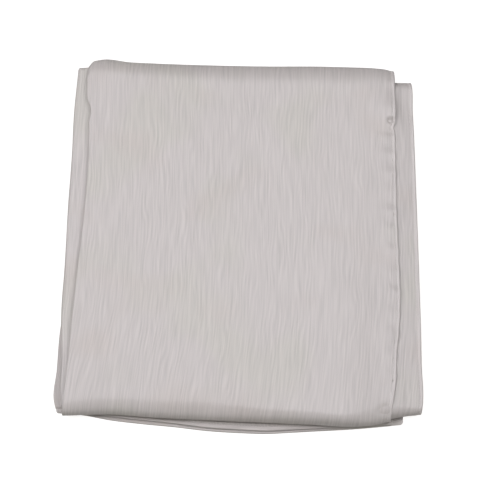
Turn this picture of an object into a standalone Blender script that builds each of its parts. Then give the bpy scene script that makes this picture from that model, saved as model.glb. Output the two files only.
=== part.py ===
"""A hijab shawl in crinkle satin, folded into a flat packet that lies on a surface.

The cloth is 0.75 by 1.80 m. It is folded once along its length, with the fold on the left and the two
long hems on the right, and then twice across, into four lengths that lie on each other. The first
length is on top. It turns into the second at the near fold and into the fourth at the far fold, and
both short ends come out under the near fold. X runs to the right, Y away from the near fold, Z up.
"""

from bisect import bisect_right
from math import cos, pi, sin

import bmesh
import bpy
import numpy as np

# The cloth
PLY = 0.0010
SEAM_GAP = 0.0003
PLY_PITCH = PLY + SEAM_GAP

# The hems
LONG_HEM_WIDTH = 0.0050
STRIP_HEM_WIDTH = 0.0050
END_HEM_WIDTH = 0.0065
HEM_RISE = 0.0004

# The folds
EDGE_RADIUS = (2 * PLY + SEAM_GAP) / 2
EDGE_RETURN = 0.0012
UNDER_START_GAP = 0.0065
TUCK = 0.0070
SIDE_ROLL = 0.0026

# How much of the height under the upper two plies each hidden length takes up to its top
LOWER_TOP = 0.23
MIDDLE_TOP = 0.46
SECOND_TOP = 0.76

# How far the walls of the hidden lengths run in from their folded edges and from their free ends
SIDE_WALL_END = -0.1680
FAR_SIDE_WALL_END = -0.1925
FAR_SIDE_FADE = 0.030
END_DEPTH = 0.036
END_FADE = 0.014
LOWER_FAR_GAP = 0.0030

# The fold between the second and the third length
INNER_FOLD_Y = 0.2235

# Edges of the packet along its length.
# Columns: y, folded left edge, right hem edge of the upper ply
UPPER_EDGES = [
    (-0.232, -0.1890, 0.1660),
    (-0.205, -0.1880, 0.1712),
    (-0.180, -0.1868, 0.1748),
    (-0.145, -0.1858, 0.1762),
    (-0.110, -0.1855, 0.1795),
    (-0.070, -0.1846, 0.1812),
    (-0.015, -0.1828, 0.1797),
    (0.050, -0.1812, 0.1782),
    (0.110, -0.1822, 0.1777),
    (0.136, -0.1838, 0.1768),
    (0.149, -0.1845, 0.1742),
    (0.162, -0.1834, 0.1770),
    (0.182, -0.1878, 0.1778),
    (0.205, -0.1896, 0.1778),
    (0.236, -0.1905, 0.1774),
]

# Columns: y, right edge of the wider ply under it
STRIP_EDGE = [
    (-0.216, 0.2000),
    (-0.205, 0.2030),
    (-0.130, 0.2035),
    (-0.040, 0.2026),
    (0.040, 0.2014),
    (0.125, 0.1998),
    (0.205, 0.1990),
    (0.222, 0.1968),
]

# Columns: y, folded left edge of the second and third lengths, folded left edge of the fourth
INNER_EDGES = [
    (-0.236, -0.1895, -0.1965),
    (-0.205, -0.1905, -0.1970),
    (-0.165, -0.1925, -0.1975),
    (-0.120, -0.1960, -0.1980),
    (-0.090, -0.1982, -0.1968),
    (-0.050, -0.1990, -0.1958),
    (0.040, -0.2012, -0.1965),
    (0.110, -0.2026, -0.1980),
    (0.165, -0.2036, -0.1995),
    (0.218, -0.2034, -0.2005),
    (0.232, -0.2005, -0.2005),
]

# Where the folds end across the packet, and how far back each begins to turn.
# Columns: x, tip of the near fold, its reach, tip of the far fold, its reach
FOLD_TIPS = [
    (-0.192, -0.2225, 0.0150, 0.2288, 0.0185),
    (-0.1865, -0.2230, 0.0152, 0.2345, 0.0200),
    (-0.180, -0.2225, 0.0155, 0.2372, 0.0210),
    (-0.140, -0.2210, 0.0155, 0.2362, 0.0210),
    (-0.092, -0.2220, 0.0155, 0.2342, 0.0210),
    (-0.037, -0.2240, 0.0155, 0.2332, 0.0210),
    (0.028, -0.2290, 0.0155, 0.2334, 0.0210),
    (0.080, -0.2302, 0.0155, 0.2346, 0.0210),
    (0.126, -0.2290, 0.0155, 0.2348, 0.0210),
    (0.153, -0.2250, 0.0150, 0.2338, 0.0200),
    (0.171, -0.2185, 0.0125, 0.2318, 0.0175),
    (0.1775, -0.2155, 0.0105, 0.2290, 0.0145),
    (0.184, -0.2130, 0.0085, 0.2235, 0.0115),
    (0.198, -0.2120, 0.0070, 0.2215, 0.0085),
    (0.205, -0.2080, 0.0070, 0.2180, 0.0080),
]

# Where the two free ends lie.
# Columns: x, end of the third length, end of the fourth
FREE_ENDS = [
    (-0.200, -0.2130, -0.2135),
    (-0.165, -0.2140, -0.2150),
    (-0.136, -0.2180, -0.2200),
    (-0.100, -0.2232, -0.2256),
    (-0.065, -0.2262, -0.2285),
    (-0.030, -0.2300, -0.2322),
    (0.005, -0.2310, -0.2335),
    (0.035, -0.2318, -0.2345),
    (0.062, -0.2308, -0.2332),
    (0.085, -0.2290, -0.2308),
    (0.126, -0.2265, -0.2268),
    (0.165, -0.2225, -0.2222),
    (0.190, -0.2200, -0.2180),
]

# Height of the packet along its middle, and how far it falls away towards its sides.
HEIGHT_ALONG = [
    (-0.215, 0.0240),
    (-0.180, 0.0238),
    (-0.110, 0.0226),
    (-0.030, 0.0216),
    (0.060, 0.0211),
    (0.140, 0.0211),
    (0.215, 0.0212),
]
FALL_ACROSS = [
    (-0.206, 0.0052),
    (-0.188, 0.0032),
    (-0.165, 0.0014),
    (-0.120, 0.0004),
    (0.000, 0.0000),
    (0.120, 0.0003),
    (0.152, 0.0012),
    (0.174, 0.0034),
    (0.188, 0.0068),
    (0.206, 0.0108),
]

# Broad soft swells and dips of the top. Columns: x, y, half width, half length, rise
SWELLS = [
    (-0.110, 0.150, 0.060, 0.050, 0.0006),
    (0.020, 0.080, 0.050, 0.090, -0.0005),
    (0.095, -0.020, 0.045, 0.110, 0.0006),
    (-0.070, -0.090, 0.055, 0.070, -0.0005),
    (0.030, -0.150, 0.070, 0.040, 0.0005),
]

# Puckers in the long hem of the upper ply. Columns: y, half length, lift
HEM_PUCKERS = [
    (-0.196, 0.009, 0.0006),
    (-0.171, 0.011, 0.0009),
    (-0.146, 0.008, 0.0006),
    (-0.121, 0.012, 0.0010),
    (-0.094, 0.009, 0.0007),
    (-0.067, 0.010, 0.0010),
    (-0.041, 0.008, 0.0005),
    (-0.014, 0.012, 0.0009),
    (0.013, 0.009, 0.0007),
    (0.037, 0.008, 0.0010),
    (0.062, 0.011, 0.0006),
    (0.088, 0.009, 0.0009),
    (0.112, 0.010, 0.0007),
    (0.137, 0.008, 0.0016),
    (0.163, 0.009, 0.0018),
    (0.189, 0.011, 0.0007),
]
PUCKER_FADE = 0.026

# Layers of the hidden stack at its open right side, as shares of its height.
# Columns: bottom, top, distance in from the edge of the wide ply
OPEN_LAYERS = [
    (0.00, 0.12, 0.0270),
    (0.15, 0.31, 0.0105),
    (0.34, 0.48, 0.0140),
    (0.51, 0.70, 0.0275),
    (0.73, 0.93, 0.0088),
]
GROOVE_DEPTH = 0.0075
GROOVE_SHARE = 0.015
LAYER_ROUNDING = 0.0012
RIM_SHARE = 0.04

# The top of the hidden stack, ring by ring.
# Columns: share of its height, distance in at its open right side, distance in all round
CROWN_RINGS = [
    (1.00, 0.012, 0.002),
    (1.00, 0.022, 0.012),
    (0.98, 0.060, 0.050),
    (0.96, 0.130, 0.110),
]

# The hidden stack's ends and corners, and its gaps to the cloth round it
STACK_NEAR = -0.190
STACK_FAR = 0.220
CORNER_POWER = 14
STACK_GAP = 0.0010
STACK_CLEARANCE = 2 * PLY_PITCH + 0.0002
STACK_MARGIN = STACK_CLEARANCE + 0.0008
STACK_LEFT = SIDE_WALL_END + STACK_GAP
BEHIND_ENDS = END_HEM_WIDTH + END_DEPTH + END_FADE + 2 * STACK_GAP

# The packet's sides at rest, for the walls between them
EDGE_AT_LEFT = -0.186
EDGE_AT_RIGHT = 0.178
UPPER_END_RIGHT = EDGE_AT_RIGHT - 0.006
WIDE_END_RIGHT = EDGE_AT_RIGHT + 0.006

# Counts
UPPER_ROWS = 50
UNDER_ROWS = 16
FOLD_ROWS = 8
SIDE_ROWS = 9
INNER_FOLD_ROWS = 6
STACK_LONG_SIDE = 18
STACK_SHORT_SIDE = 14

# Half width of the differences that slopes are worked out from
STEP = 1e-4


def curve(rows, column):
    """A smooth curve through one column of a table, by the table's first column."""
    places = [row[0] for row in rows]
    values = [row[column] for row in rows]
    slopes = np.gradient(values, places)

    def at(place):
        place = min(max(place, places[0]), places[-1])
        low = min(bisect_right(places, place), len(places) - 1) - 1
        width = places[low + 1] - places[low]
        t = (place - places[low]) / width
        start = (1 + 2 * t) * (1 - t) ** 2 * values[low] + t * (1 - t) ** 2 * width * slopes[low]
        end = t * t * (3 - 2 * t) * values[low + 1] + t * t * (t - 1) * width * slopes[low + 1]
        return float(start + end)

    return at


left_fold = curve(UPPER_EDGES, 1)
upper_hem_edge = curve(UPPER_EDGES, 2)
strip_edge = curve(STRIP_EDGE, 1)
second_edge = curve(INNER_EDGES, 1)
lower_edge = curve(INNER_EDGES, 2)
near_tip = curve(FOLD_TIPS, 1)
near_reach = curve(FOLD_TIPS, 2)
far_tip = curve(FOLD_TIPS, 3)
far_reach = curve(FOLD_TIPS, 4)
third_end = curve(FREE_ENDS, 1)
fourth_end = curve(FREE_ENDS, 2)
height_along = curve(HEIGHT_ALONG, 1)
fall_across = curve(FALL_ACROSS, 1)


def blend(a, b, t):
    return a + (b - a) * t


def ease(t):
    t = min(max(t, 0.0), 1.0)
    return t * t * (3 - 2 * t)


def hump(distance, reach):
    """1 at the middle of a swell, falling smoothly to 0 at its reach."""
    return ease(1 - abs(distance) / reach)


def stack_height(x, y):
    """Height of the packet's upper face."""
    swell = sum(
        rise * hump(x - at_x, half_width) * hump(y - at_y, half_length)
        for at_x, at_y, half_width, half_length, rise in SWELLS
    )
    return height_along(y) - fall_across(x) + swell


def hidden_height(x, y):
    """Height of what lies under the upper two plies."""
    slope = (stack_height(x + STEP, y) - stack_height(x - STEP, y)) / (2 * STEP)
    return stack_height(x, y) - STACK_CLEARANCE * (1 + slope * slope) ** 0.5


def near_centre(x):
    """Where the upper face begins to turn into the near fold."""
    return near_tip(x) + near_reach(x)


def far_centre(x):
    return far_tip(x) - far_reach(x)


def near_fold_bottom(x):
    """The near fold rests on the third length."""
    return MIDDLE_TOP * hidden_height(x, near_centre(x)) + SEAM_GAP


def along_packet(x, v):
    """Place on the outer face: v is 0 to 1 under the near fold, 1 to 2 round it, 2 to 3 on top, 3 to 4
    round the far fold and 4 to 5 under it."""
    stretch = min(max(int(v), 0), 4)
    t = v - stretch
    if stretch == 0:
        return np.array((x, near_centre(x) + TUCK * (1 - t), near_fold_bottom(x)))
    if stretch == 1:
        bottom = near_fold_bottom(x)
        half = (stack_height(x, near_centre(x)) - bottom) / 2
        turn = pi * (1 - t)
        return np.array((x, near_centre(x) - near_reach(x) * sin(turn), bottom + half * (1 + cos(turn))))
    if stretch == 2:
        y = blend(near_centre(x), far_centre(x), t)
        return np.array((x, y, stack_height(x, y)))
    if stretch == 3:
        half = stack_height(x, far_centre(x)) / 2
        turn = pi * t
        return np.array((x, far_centre(x) + far_reach(x) * sin(turn), half * (1 + cos(turn))))
    return np.array((x, far_centre(x) - TUCK * t, 0.0))


def directions(x, v):
    """Unit directions across the outer face and out of it."""
    across = along_packet(x + STEP, v) - along_packet(x - STEP, v)
    along = along_packet(x, v + STEP) - along_packet(x, v - STEP)
    out = np.cross(across, along)
    return across / np.linalg.norm(across), out / np.linalg.norm(out)


def on_packet(side, v, lift=0.0):
    """Where a line along the packet, x as a function of y, passes v, moved out of the face by a lift."""
    x = side(along_packet(side(0.0), v)[1])
    return along_packet(x, v) + lift * directions(x, v)[1]


def between(left_side, right_side, share):
    """The line that lies at a share of the way from one side to another."""
    return lambda y: blend(left_side(y), right_side(y), share)


def beside(side, distance):
    return lambda y: side(y) + distance


def rows_round_packet(top_rows, fold_rows):
    """Values of v from under the near fold to under the far fold."""
    return (
        [0.0]
        + [1 + i / fold_rows for i in range(fold_rows)]
        + [2 + i / top_rows for i in range(top_rows)]
        + [3 + i / fold_rows for i in range(fold_rows + 1)]
        + [5.0]
    )


def cloth_material(name, colour, roughness):
    material = bpy.data.materials.new(name)
    material.use_nodes = True
    shader = material.node_tree.nodes["Principled BSDF"]
    shader.inputs["Base Color"].default_value = (*colour, 1.0)
    shader.inputs["Roughness"].default_value = roughness
    shader.inputs["Metallic"].default_value = 0.0
    material.diffuse_color = (*colour, 1.0)
    return material


def add_object(name, mesh_data, material):
    mesh = bpy.data.meshes.new(name)
    mesh_data.to_mesh(mesh)
    mesh_data.free()
    mesh.materials.append(material)
    mesh.shade_smooth()
    piece = bpy.data.objects.new(name, mesh)
    packet.objects.link(piece)
    return piece


def grid(columns, rows, point):
    """A grid whose points come from a column and a row value."""
    mesh_data = bmesh.new()
    bmesh.ops.create_grid(mesh_data, x_segments=len(columns) - 1, y_segments=len(rows) - 1, size=0.5)
    for vert in mesh_data.verts:
        column = columns[round((vert.co.x + 0.5) * (len(columns) - 1))]
        row = rows[round((vert.co.y + 0.5) * (len(rows) - 1))]
        vert.co = point(column, row)
    return mesh_data


def cloth_wall(name, columns, rows, point, material):
    """A wall of cloth under the outer face that the grid gives."""
    piece = add_object(name, grid(columns, rows, point), material)
    wall = piece.modifiers.new("Cloth thickness", "SOLIDIFY")
    wall.thickness = PLY
    wall.offset = -1
    return piece


def pucker_lift(x, y, v):
    """Lift of the cloth by the hem's puckers, fading into the panel and towards the folds."""
    fade = ease(1 - (upper_hem_edge(y) - LONG_HEM_WIDTH - x) / PUCKER_FADE)
    on_top = ease(min(v - 1.5, 3.5 - v) * 2)
    return on_top * fade * max(lift * hump(y - at_y, half) for at_y, half, lift in HEM_PUCKERS)


upper_left = beside(left_fold, EDGE_RADIUS)
upper_right = beside(upper_hem_edge, -LONG_HEM_WIDTH - SEAM_GAP)
PANEL_SHARES = [0, 0.02, 0.06, 0.12, 0.2, 0.32, 0.46, 0.6, 0.74, 0.85, 0.92, 0.96, 1]


def make_top_ply(material):
    """The upper ply, over the top and round both folds, with its left edge turned under."""

    def point(column, v):
        share, turn, inward = column
        if turn == 0:
            here = on_packet(between(upper_left, upper_right, share), v)
            return here + pucker_lift(here[0], here[1], v) * directions(here[0], v)[1]
        here = on_packet(upper_left, v)
        across, out = directions(here[0], v)
        return here + across * (inward - EDGE_RADIUS * sin(turn)) + out * EDGE_RADIUS * (cos(turn) - 1)

    edge = [(0, pi, EDGE_RETURN)] + [(0, pi * i / 4, 0) for i in range(4, 0, -1)]
    columns = edge + [(share, 0, 0) for share in PANEL_SHARES]
    return cloth_wall("top_ply", columns, rows_round_packet(UPPER_ROWS, FOLD_ROWS), point, material)


def make_top_ply_hem(material):
    """The long hem on the right of the upper ply, drawn up into puckers by its stitching."""
    inner_side = beside(upper_hem_edge, -LONG_HEM_WIDTH)

    def point(share, v):
        here = on_packet(between(inner_side, upper_hem_edge, share), v)
        raised = HEM_RISE * ease(min(v - 1, 4 - v) * 2)
        return here + (raised + pucker_lift(here[0], here[1], v)) * directions(here[0], v)[1]

    rows = rows_round_packet(UPPER_ROWS, FOLD_ROWS)
    return cloth_wall("top_ply_hem", [0, 0.35, 0.7, 1], rows, point, material)


def make_under_ply(material):
    """The wider ply under the upper one. Only its right side shows."""
    start = beside(upper_left, EDGE_RETURN + UNDER_START_GAP)
    strip_inner = beside(strip_edge, -STRIP_HEM_WIDTH - SEAM_GAP)
    sides = [start] + [between(upper_left, upper_right, share) for share in PANEL_SHARES[2:]]
    sides += [between(upper_right, strip_inner, share) for share in (0.3, 0.55, 0.78, 1)]
    rows = rows_round_packet(UNDER_ROWS, FOLD_ROWS)
    return cloth_wall("under_ply", sides, rows, lambda side, v: on_packet(side, v, -PLY_PITCH), material)


def make_under_ply_hem(material):
    """The long hem of the wide ply."""
    sides = [beside(strip_edge, -STRIP_HEM_WIDTH * share) for share in (1, 0.5, 0)]
    lift = HEM_RISE - PLY_PITCH
    rows = rows_round_packet(UNDER_ROWS, FOLD_ROWS)
    return cloth_wall("under_ply_hem", sides, rows, lambda side, v: on_packet(side, v, lift), material)


# Columns of a wall folded on its left side: distance in as a share, and turn round the fold
FOLDED_COLUMNS = (
    [(share, -pi / 2) for share in (1, 0.75, 0.5, 0.25)]
    + [(0, pi * (i / 5 - 0.5)) for i in range(6)]
    + [(share, pi / 2) for share in (0.25, 0.5, 0.75, 1)]
)


def lower_length_top(x, y):
    return LOWER_TOP * hidden_height(x, y) - SEAM_GAP


def wall_end(from_end, from_far, whole_end):
    """How far right a folded wall runs: whole at its free end, then only behind its folded edge."""
    behind_end = blend(whole_end, SIDE_WALL_END, ease((from_end - END_DEPTH) / END_FADE))
    return blend(FAR_SIDE_WALL_END, behind_end, ease(from_far / FAR_SIDE_FADE))


def folded_x(column, edge, right_end):
    """Place across a wall that is folded on its left side."""
    share, turn = column
    return edge + SIDE_ROLL * (1 - cos(turn)) + share * (right_end - edge - SIDE_ROLL)


# Distances from a free end's hem at which the wall behind it has rows
END_DEPTHS = [0, 0.012, 0.024, END_DEPTH, END_DEPTH + END_FADE / 2, END_DEPTH + END_FADE]


def make_lower_length(material):
    """The fourth length, on the surface: its free end and its folded left side."""
    rows = [(depth, 0) for depth in END_DEPTHS]
    rows += [(END_DEPTHS[-1], (i + 1) / SIDE_ROWS) for i in range(SIDE_ROWS)]

    def far_stop(x):
        return far_centre(x) - TUCK - LOWER_FAR_GAP

    def point(column, row):
        turn = column[1]
        depth, along = row
        edge = lower_edge(blend(fourth_end(EDGE_AT_LEFT) + depth, far_stop(EDGE_AT_LEFT), along))
        right_end = WIDE_END_RIGHT if turn > 0 else UPPER_END_RIGHT
        x = folded_x(column, edge, wall_end(depth + along, 1, right_end))
        y = blend(fourth_end(x) + END_HEM_WIDTH + SEAM_GAP + depth, far_stop(x), along)
        return x, y, lower_length_top(x, y) * (1 + sin(turn)) / 2

    return cloth_wall("lower_length", FOLDED_COLUMNS, rows, point, material)


def make_lower_end_hem(material):
    """The hem of the short end that lies on the surface."""

    def point(column, depth):
        turn = column[1]
        right_end = WIDE_END_RIGHT if turn > 0 else UPPER_END_RIGHT
        x = folded_x(column, lower_edge(fourth_end(EDGE_AT_LEFT)), right_end)
        y = fourth_end(x) + depth
        return x, y, lower_length_top(x, y) * (1 + sin(turn)) / 2

    depths = [0, END_HEM_WIDTH / 2, END_HEM_WIDTH]
    return cloth_wall("lower_end_hem", FOLDED_COLUMNS, depths, point, material)


def level(x, y, low_share, high_share):
    """Middle height and half height of a hidden length."""
    low = low_share * hidden_height(x, y)
    high = high_share * hidden_height(x, y) - SEAM_GAP
    return (low + high) / 2, (high - low) / 2


def make_middle_lengths(material):
    """The third length from its free end to the inner far fold, and the second length back from there:
    the free end, and the folded left side all the way."""
    rows = [("third", depth, 0) for depth in END_DEPTHS]
    rows += [("third", END_DEPTHS[-1], (i + 1) / SIDE_ROWS) for i in range(SIDE_ROWS)]
    rows += [("fold", 0, (i + 1) / INNER_FOLD_ROWS) for i in range(INNER_FOLD_ROWS)]
    rows += [("second", 0, (i + 1) / SIDE_ROWS) for i in range(SIDE_ROWS)]

    def near_stop(x):
        return near_centre(x) + TUCK + SEAM_GAP

    def point(column, row):
        turn = column[1]
        stretch, depth, along = row
        out = -sin(turn)
        if stretch == "third":
            rough = blend(third_end(EDGE_AT_LEFT) + depth, INNER_FOLD_Y, along)
            right_end = UPPER_END_RIGHT if turn > 0 else WIDE_END_RIGHT
            x = folded_x(column, second_edge(rough), wall_end(depth + along, INNER_FOLD_Y - rough, right_end))
            y = blend(third_end(x) + END_HEM_WIDTH + SEAM_GAP + depth, INNER_FOLD_Y, along)
            middle, half = level(x, y, LOWER_TOP, MIDDLE_TOP)
            return x, y, middle - out * half
        if stretch == "second":
            rough = blend(INNER_FOLD_Y, near_stop(EDGE_AT_LEFT), along)
            x = folded_x(column, second_edge(rough), wall_end(1, INNER_FOLD_Y - rough, 0))
            y = blend(INNER_FOLD_Y, near_stop(x), along)
            middle, half = level(x, y, MIDDLE_TOP, SECOND_TOP)
            return x, y, middle + out * half
        x = folded_x(column, second_edge(INNER_FOLD_Y), FAR_SIDE_WALL_END)
        low, low_half = level(x, INNER_FOLD_Y, LOWER_TOP, MIDDLE_TOP)
        high, high_half = level(x, INNER_FOLD_Y, MIDDLE_TOP, SECOND_TOP)
        angle = pi * (along - 0.5)
        reach = (high - low) / 2 + out * blend(low_half, high_half, along)
        return x, INNER_FOLD_Y + reach * cos(angle), (high + low) / 2 + reach * sin(angle)

    return cloth_wall("middle_lengths", FOLDED_COLUMNS, rows, point, material)


def make_middle_end_hem(material):
    """The hem of the short end that lies on the other."""

    def point(column, depth):
        turn = column[1]
        right_end = UPPER_END_RIGHT if turn > 0 else WIDE_END_RIGHT
        x = folded_x(column, second_edge(third_end(EDGE_AT_LEFT)), right_end)
        y = third_end(x) + depth
        middle, half = level(x, y, LOWER_TOP, MIDDLE_TOP)
        return x, y, middle + sin(turn) * half

    depths = [0, END_HEM_WIDTH / 2, END_HEM_WIDTH]
    return cloth_wall("middle_end_hem", FOLDED_COLUMNS, depths, point, material)


def rounding(z, low, high):
    """Share of a fold's reach that is left at a height between its lowest and highest inner faces."""
    return max(1 - ((2 * z - low - high) / (high - low)) ** 2, 0) ** 0.5


def stack_near_limit(x, z):
    """The hidden layers stop behind the free ends, and above those fill the near fold."""
    low = near_fold_bottom(x) + STACK_MARGIN
    if z < low:
        return max(third_end(x), fourth_end(x)) + BEHIND_ENDS
    filled = (near_reach(x) - STACK_MARGIN) * rounding(z, low, hidden_height(x, near_centre(x)))
    return near_centre(x) - filled


def stack_far_limit(x, z):
    """They stop short of the plies under the far fold, and above those fill it."""
    if z < STACK_MARGIN:
        return far_centre(x) - TUCK - STACK_GAP
    filled = (far_reach(x) - STACK_MARGIN) * rounding(z, STACK_MARGIN, hidden_height(x, far_centre(x)))
    return far_centre(x) + filled


def rounded_loop():
    """Points round a square with rounded corners, from -1 to 1 both ways."""
    loop = []
    corners = [(-1, -1), (1, -1), (1, 1), (-1, 1)]
    for side, count in enumerate((STACK_LONG_SIDE, STACK_SHORT_SIDE) * 2):
        start = corners[side]
        end = corners[(side + 1) % 4]
        for i in range(count):
            p = blend(start[0], end[0], i / count)
            q = blend(start[1], end[1], i / count)
            pull = (abs(p) ** CORNER_POWER + abs(q) ** CORNER_POWER) ** (1 / CORNER_POWER)
            loop.append((p / pull, q / pull))
    return loop


def stack_rings():
    """Share of the height, distance in at the open right side, and distance in all round, ring by ring."""
    rings = []
    for bottom, top, inward in OPEN_LAYERS:
        rim = min((top - bottom) / 4, RIM_SHARE)
        if bottom > 0:
            rings.append((bottom - GROOVE_SHARE, inward + GROOVE_DEPTH, 0))
        rings.append((bottom, inward + LAYER_ROUNDING, 0))
        rings.append((bottom + rim, inward, 0))
        rings.append((top - rim, inward, 0))
        rings.append((top, inward + LAYER_ROUNDING, 0))
    return rings + CROWN_RINGS


def make_inner_layers(material):
    """The hidden layers as one solid with a flat underside, layered where its side is open."""
    loop = rounded_loop()
    rings = stack_rings()

    def point(place, ring):
        p, q = loop[place % len(loop)]
        share, right_in, all_in = ring
        rough_y = blend(STACK_NEAR, STACK_FAR, (q + 1) / 2)
        x = blend(STACK_LEFT + all_in, strip_edge(rough_y) - right_in, (p + 1) / 2)
        z = share * hidden_height(x, rough_y)
        y = blend(stack_near_limit(x, z) + all_in, stack_far_limit(x, z) - all_in, (q + 1) / 2)
        return x, y, share * hidden_height(x, y)

    mesh_data = grid(list(range(len(loop) + 1)), rings, point)
    bmesh.ops.remove_doubles(mesh_data, verts=mesh_data.verts, dist=1e-7)
    bmesh.ops.holes_fill(mesh_data, edges=mesh_data.edges, sides=0)
    bmesh.ops.recalc_face_normals(mesh_data, faces=mesh_data.faces)
    return add_object("inner_layers", mesh_data, material)


def centre_on_origin(pieces):
    """Puts the middle of the packet's outline over the origin."""
    corners = np.array([vert.co for piece in pieces for vert in piece.data.vertices])
    middle = (corners.min(axis=0) + corners.max(axis=0)) / 2
    for piece in pieces:
        for vert in piece.data.vertices:
            vert.co.x -= middle[0]
            vert.co.y -= middle[1]


for old in list(bpy.data.objects):
    bpy.data.objects.remove(old)

packet = bpy.data.collections.new("Folded hijab shawl")
bpy.context.scene.collection.children.link(packet)

satin = cloth_material("Crinkle satin, upper ply", (0.565, 0.531, 0.527), 0.50)
satin_hem = cloth_material("Crinkle satin, long hem", (0.590, 0.557, 0.552), 0.52)
satin_strip = cloth_material("Crinkle satin, wide ply", (0.545, 0.512, 0.508), 0.50)
satin_strip_hem = cloth_material("Crinkle satin, wide ply hem", (0.575, 0.542, 0.538), 0.52)
satin_middle = cloth_material("Crinkle satin, middle lengths", (0.540, 0.507, 0.500), 0.52)
satin_middle_hem = cloth_material("Crinkle satin, middle end hem", (0.570, 0.535, 0.530), 0.54)
satin_lower = cloth_material("Crinkle satin, lower length", (0.530, 0.497, 0.490), 0.52)
satin_lower_hem = cloth_material("Crinkle satin, lower end hem", (0.560, 0.525, 0.520), 0.54)
satin_hidden = cloth_material("Crinkle satin, hidden layers", (0.500, 0.468, 0.462), 0.55)

centre_on_origin(
    [
        make_top_ply(satin),
        make_top_ply_hem(satin_hem),
        make_under_ply(satin_strip),
        make_under_ply_hem(satin_strip_hem),
        make_middle_lengths(satin_middle),
        make_middle_end_hem(satin_middle_hem),
        make_lower_length(satin_lower),
        make_lower_end_hem(satin_lower_hem),
        make_inner_layers(satin_hidden),
    ]
)
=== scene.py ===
# %% [markdown]
# # A crinkle satin hijab shawl, folded into a packet
#
# The real object is one rectangle of pale warm grey satin with a narrow hem all round. It is folded once
# along its length and twice across, so that eight plies lie on each other. Only the upper two show whole.
# The others show as folded edges on the left, as free ends at the near side and as open edges on the
# right.
#
# A cloth simulation could fold a flat sheet, but eight plies a millimetre apart need very small steps,
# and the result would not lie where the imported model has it. So each ply is a grid laid on a map of the
# packet's outer face, and the crinkle and creases are moved into its points.

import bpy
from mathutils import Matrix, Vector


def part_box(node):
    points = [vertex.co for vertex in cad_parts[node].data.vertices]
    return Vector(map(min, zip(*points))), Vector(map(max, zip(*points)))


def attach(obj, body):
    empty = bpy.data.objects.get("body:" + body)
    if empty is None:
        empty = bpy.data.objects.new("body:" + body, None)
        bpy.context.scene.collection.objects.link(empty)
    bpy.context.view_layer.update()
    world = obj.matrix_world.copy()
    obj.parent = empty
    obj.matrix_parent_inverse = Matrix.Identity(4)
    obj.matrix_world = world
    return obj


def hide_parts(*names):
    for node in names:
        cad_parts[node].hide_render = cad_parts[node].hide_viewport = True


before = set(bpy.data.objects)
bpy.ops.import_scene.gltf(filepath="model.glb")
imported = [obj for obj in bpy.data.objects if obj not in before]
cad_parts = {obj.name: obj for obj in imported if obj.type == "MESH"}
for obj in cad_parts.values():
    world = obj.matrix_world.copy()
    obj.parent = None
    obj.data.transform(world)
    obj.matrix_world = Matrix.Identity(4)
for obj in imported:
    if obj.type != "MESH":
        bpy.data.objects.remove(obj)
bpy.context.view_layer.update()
print("packed nodes:", ", ".join(sorted(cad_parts)))

# %% Blender's modules and numpy
from math import pi

import bmesh
import bpy
import numpy as np
from mathutils import Matrix, Vector

# %% [markdown]
# ## The cloth and its folds
#
# A garment maker starts from the cut: 0.75 m wide and 1.80 m long. The packet's own sizes follow from
# how it is folded, and the tables below give them where the photo shows them: each row is one place along
# the packet or across it, in metres. A smooth curve runs through each column, so a few rows are enough.

# %% Sizes of the cloth and its hems
CUT_WIDTH = 0.75
CUT_LENGTH = 1.80

# The cloth is drawn a little thicker than real satin, so that its edges show
CLOTH = 0.0006
PLY_PITCH = 0.0013
SEAM_GAP = 0.0003
LONG_HEM_WIDTH = 0.0050
END_HEM_WIDTH = 0.0065
HEM_THICKNESS = 0.0009
HEM_RISE = 0.0001
HEM_OVERLAP = 0.0016

# It is folded across into four lengths
LENGTHS = 4
print(f"a cut of {CUT_WIDTH} by {CUT_LENGTH} m, folded into {LENGTHS} lengths of {CUT_LENGTH / LENGTHS} m")

# Folded edges: half their thickness, their return under the ply, where the wider ply starts beside it, how
# far a ply runs on under a fold, how round the inner left edges are, and where the inner far fold lies
EDGE_RADIUS = 0.00115
EDGE_RETURN = 0.0012
UNDER_START_GAP = 0.0065
TUCK = 0.0070
SIDE_ROLL = 0.0026
INNER_FOLD_Y = 0.2240

# Share of the hidden height that each length takes up to its top
LOWER_TOP = 0.23
MIDDLE_TOP = 0.46
SECOND_TOP = 0.92

# How far the walls of the hidden lengths run in from their folded left edges and from their free ends
SIDE_WALL_END = -0.1680
FAR_SIDE_WALL_END = -0.1890
FAR_SIDE_FADE = 0.030
END_DEPTH = 0.036
END_FADE = 0.014
END_CORNER = 0.003
INSIDE_NEAR_FOLD = 0.008
TUCK_TOP = 0.44
TUCK_RAMP = 0.010
LOWER_FAR_GAP = 0.0030

# The near fold presses the third and fourth lengths flat: share of height kept, up to where, and the fade
PRESSED_SHARE = 0.58
PRESSED_UP_TO = -0.205
PRESSED_FADE = 0.070

# Where the packet's sides lie, for what needs one place only
EDGE_AT_LEFT = -0.186
EDGE_AT_RIGHT = 0.178
UPPER_END_RIGHT = EDGE_AT_RIGHT - 0.006
WIDE_END_RIGHT = EDGE_AT_RIGHT + 0.005
STACK_CLEARANCE = 2 * PLY_PITCH + 0.0002

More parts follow.
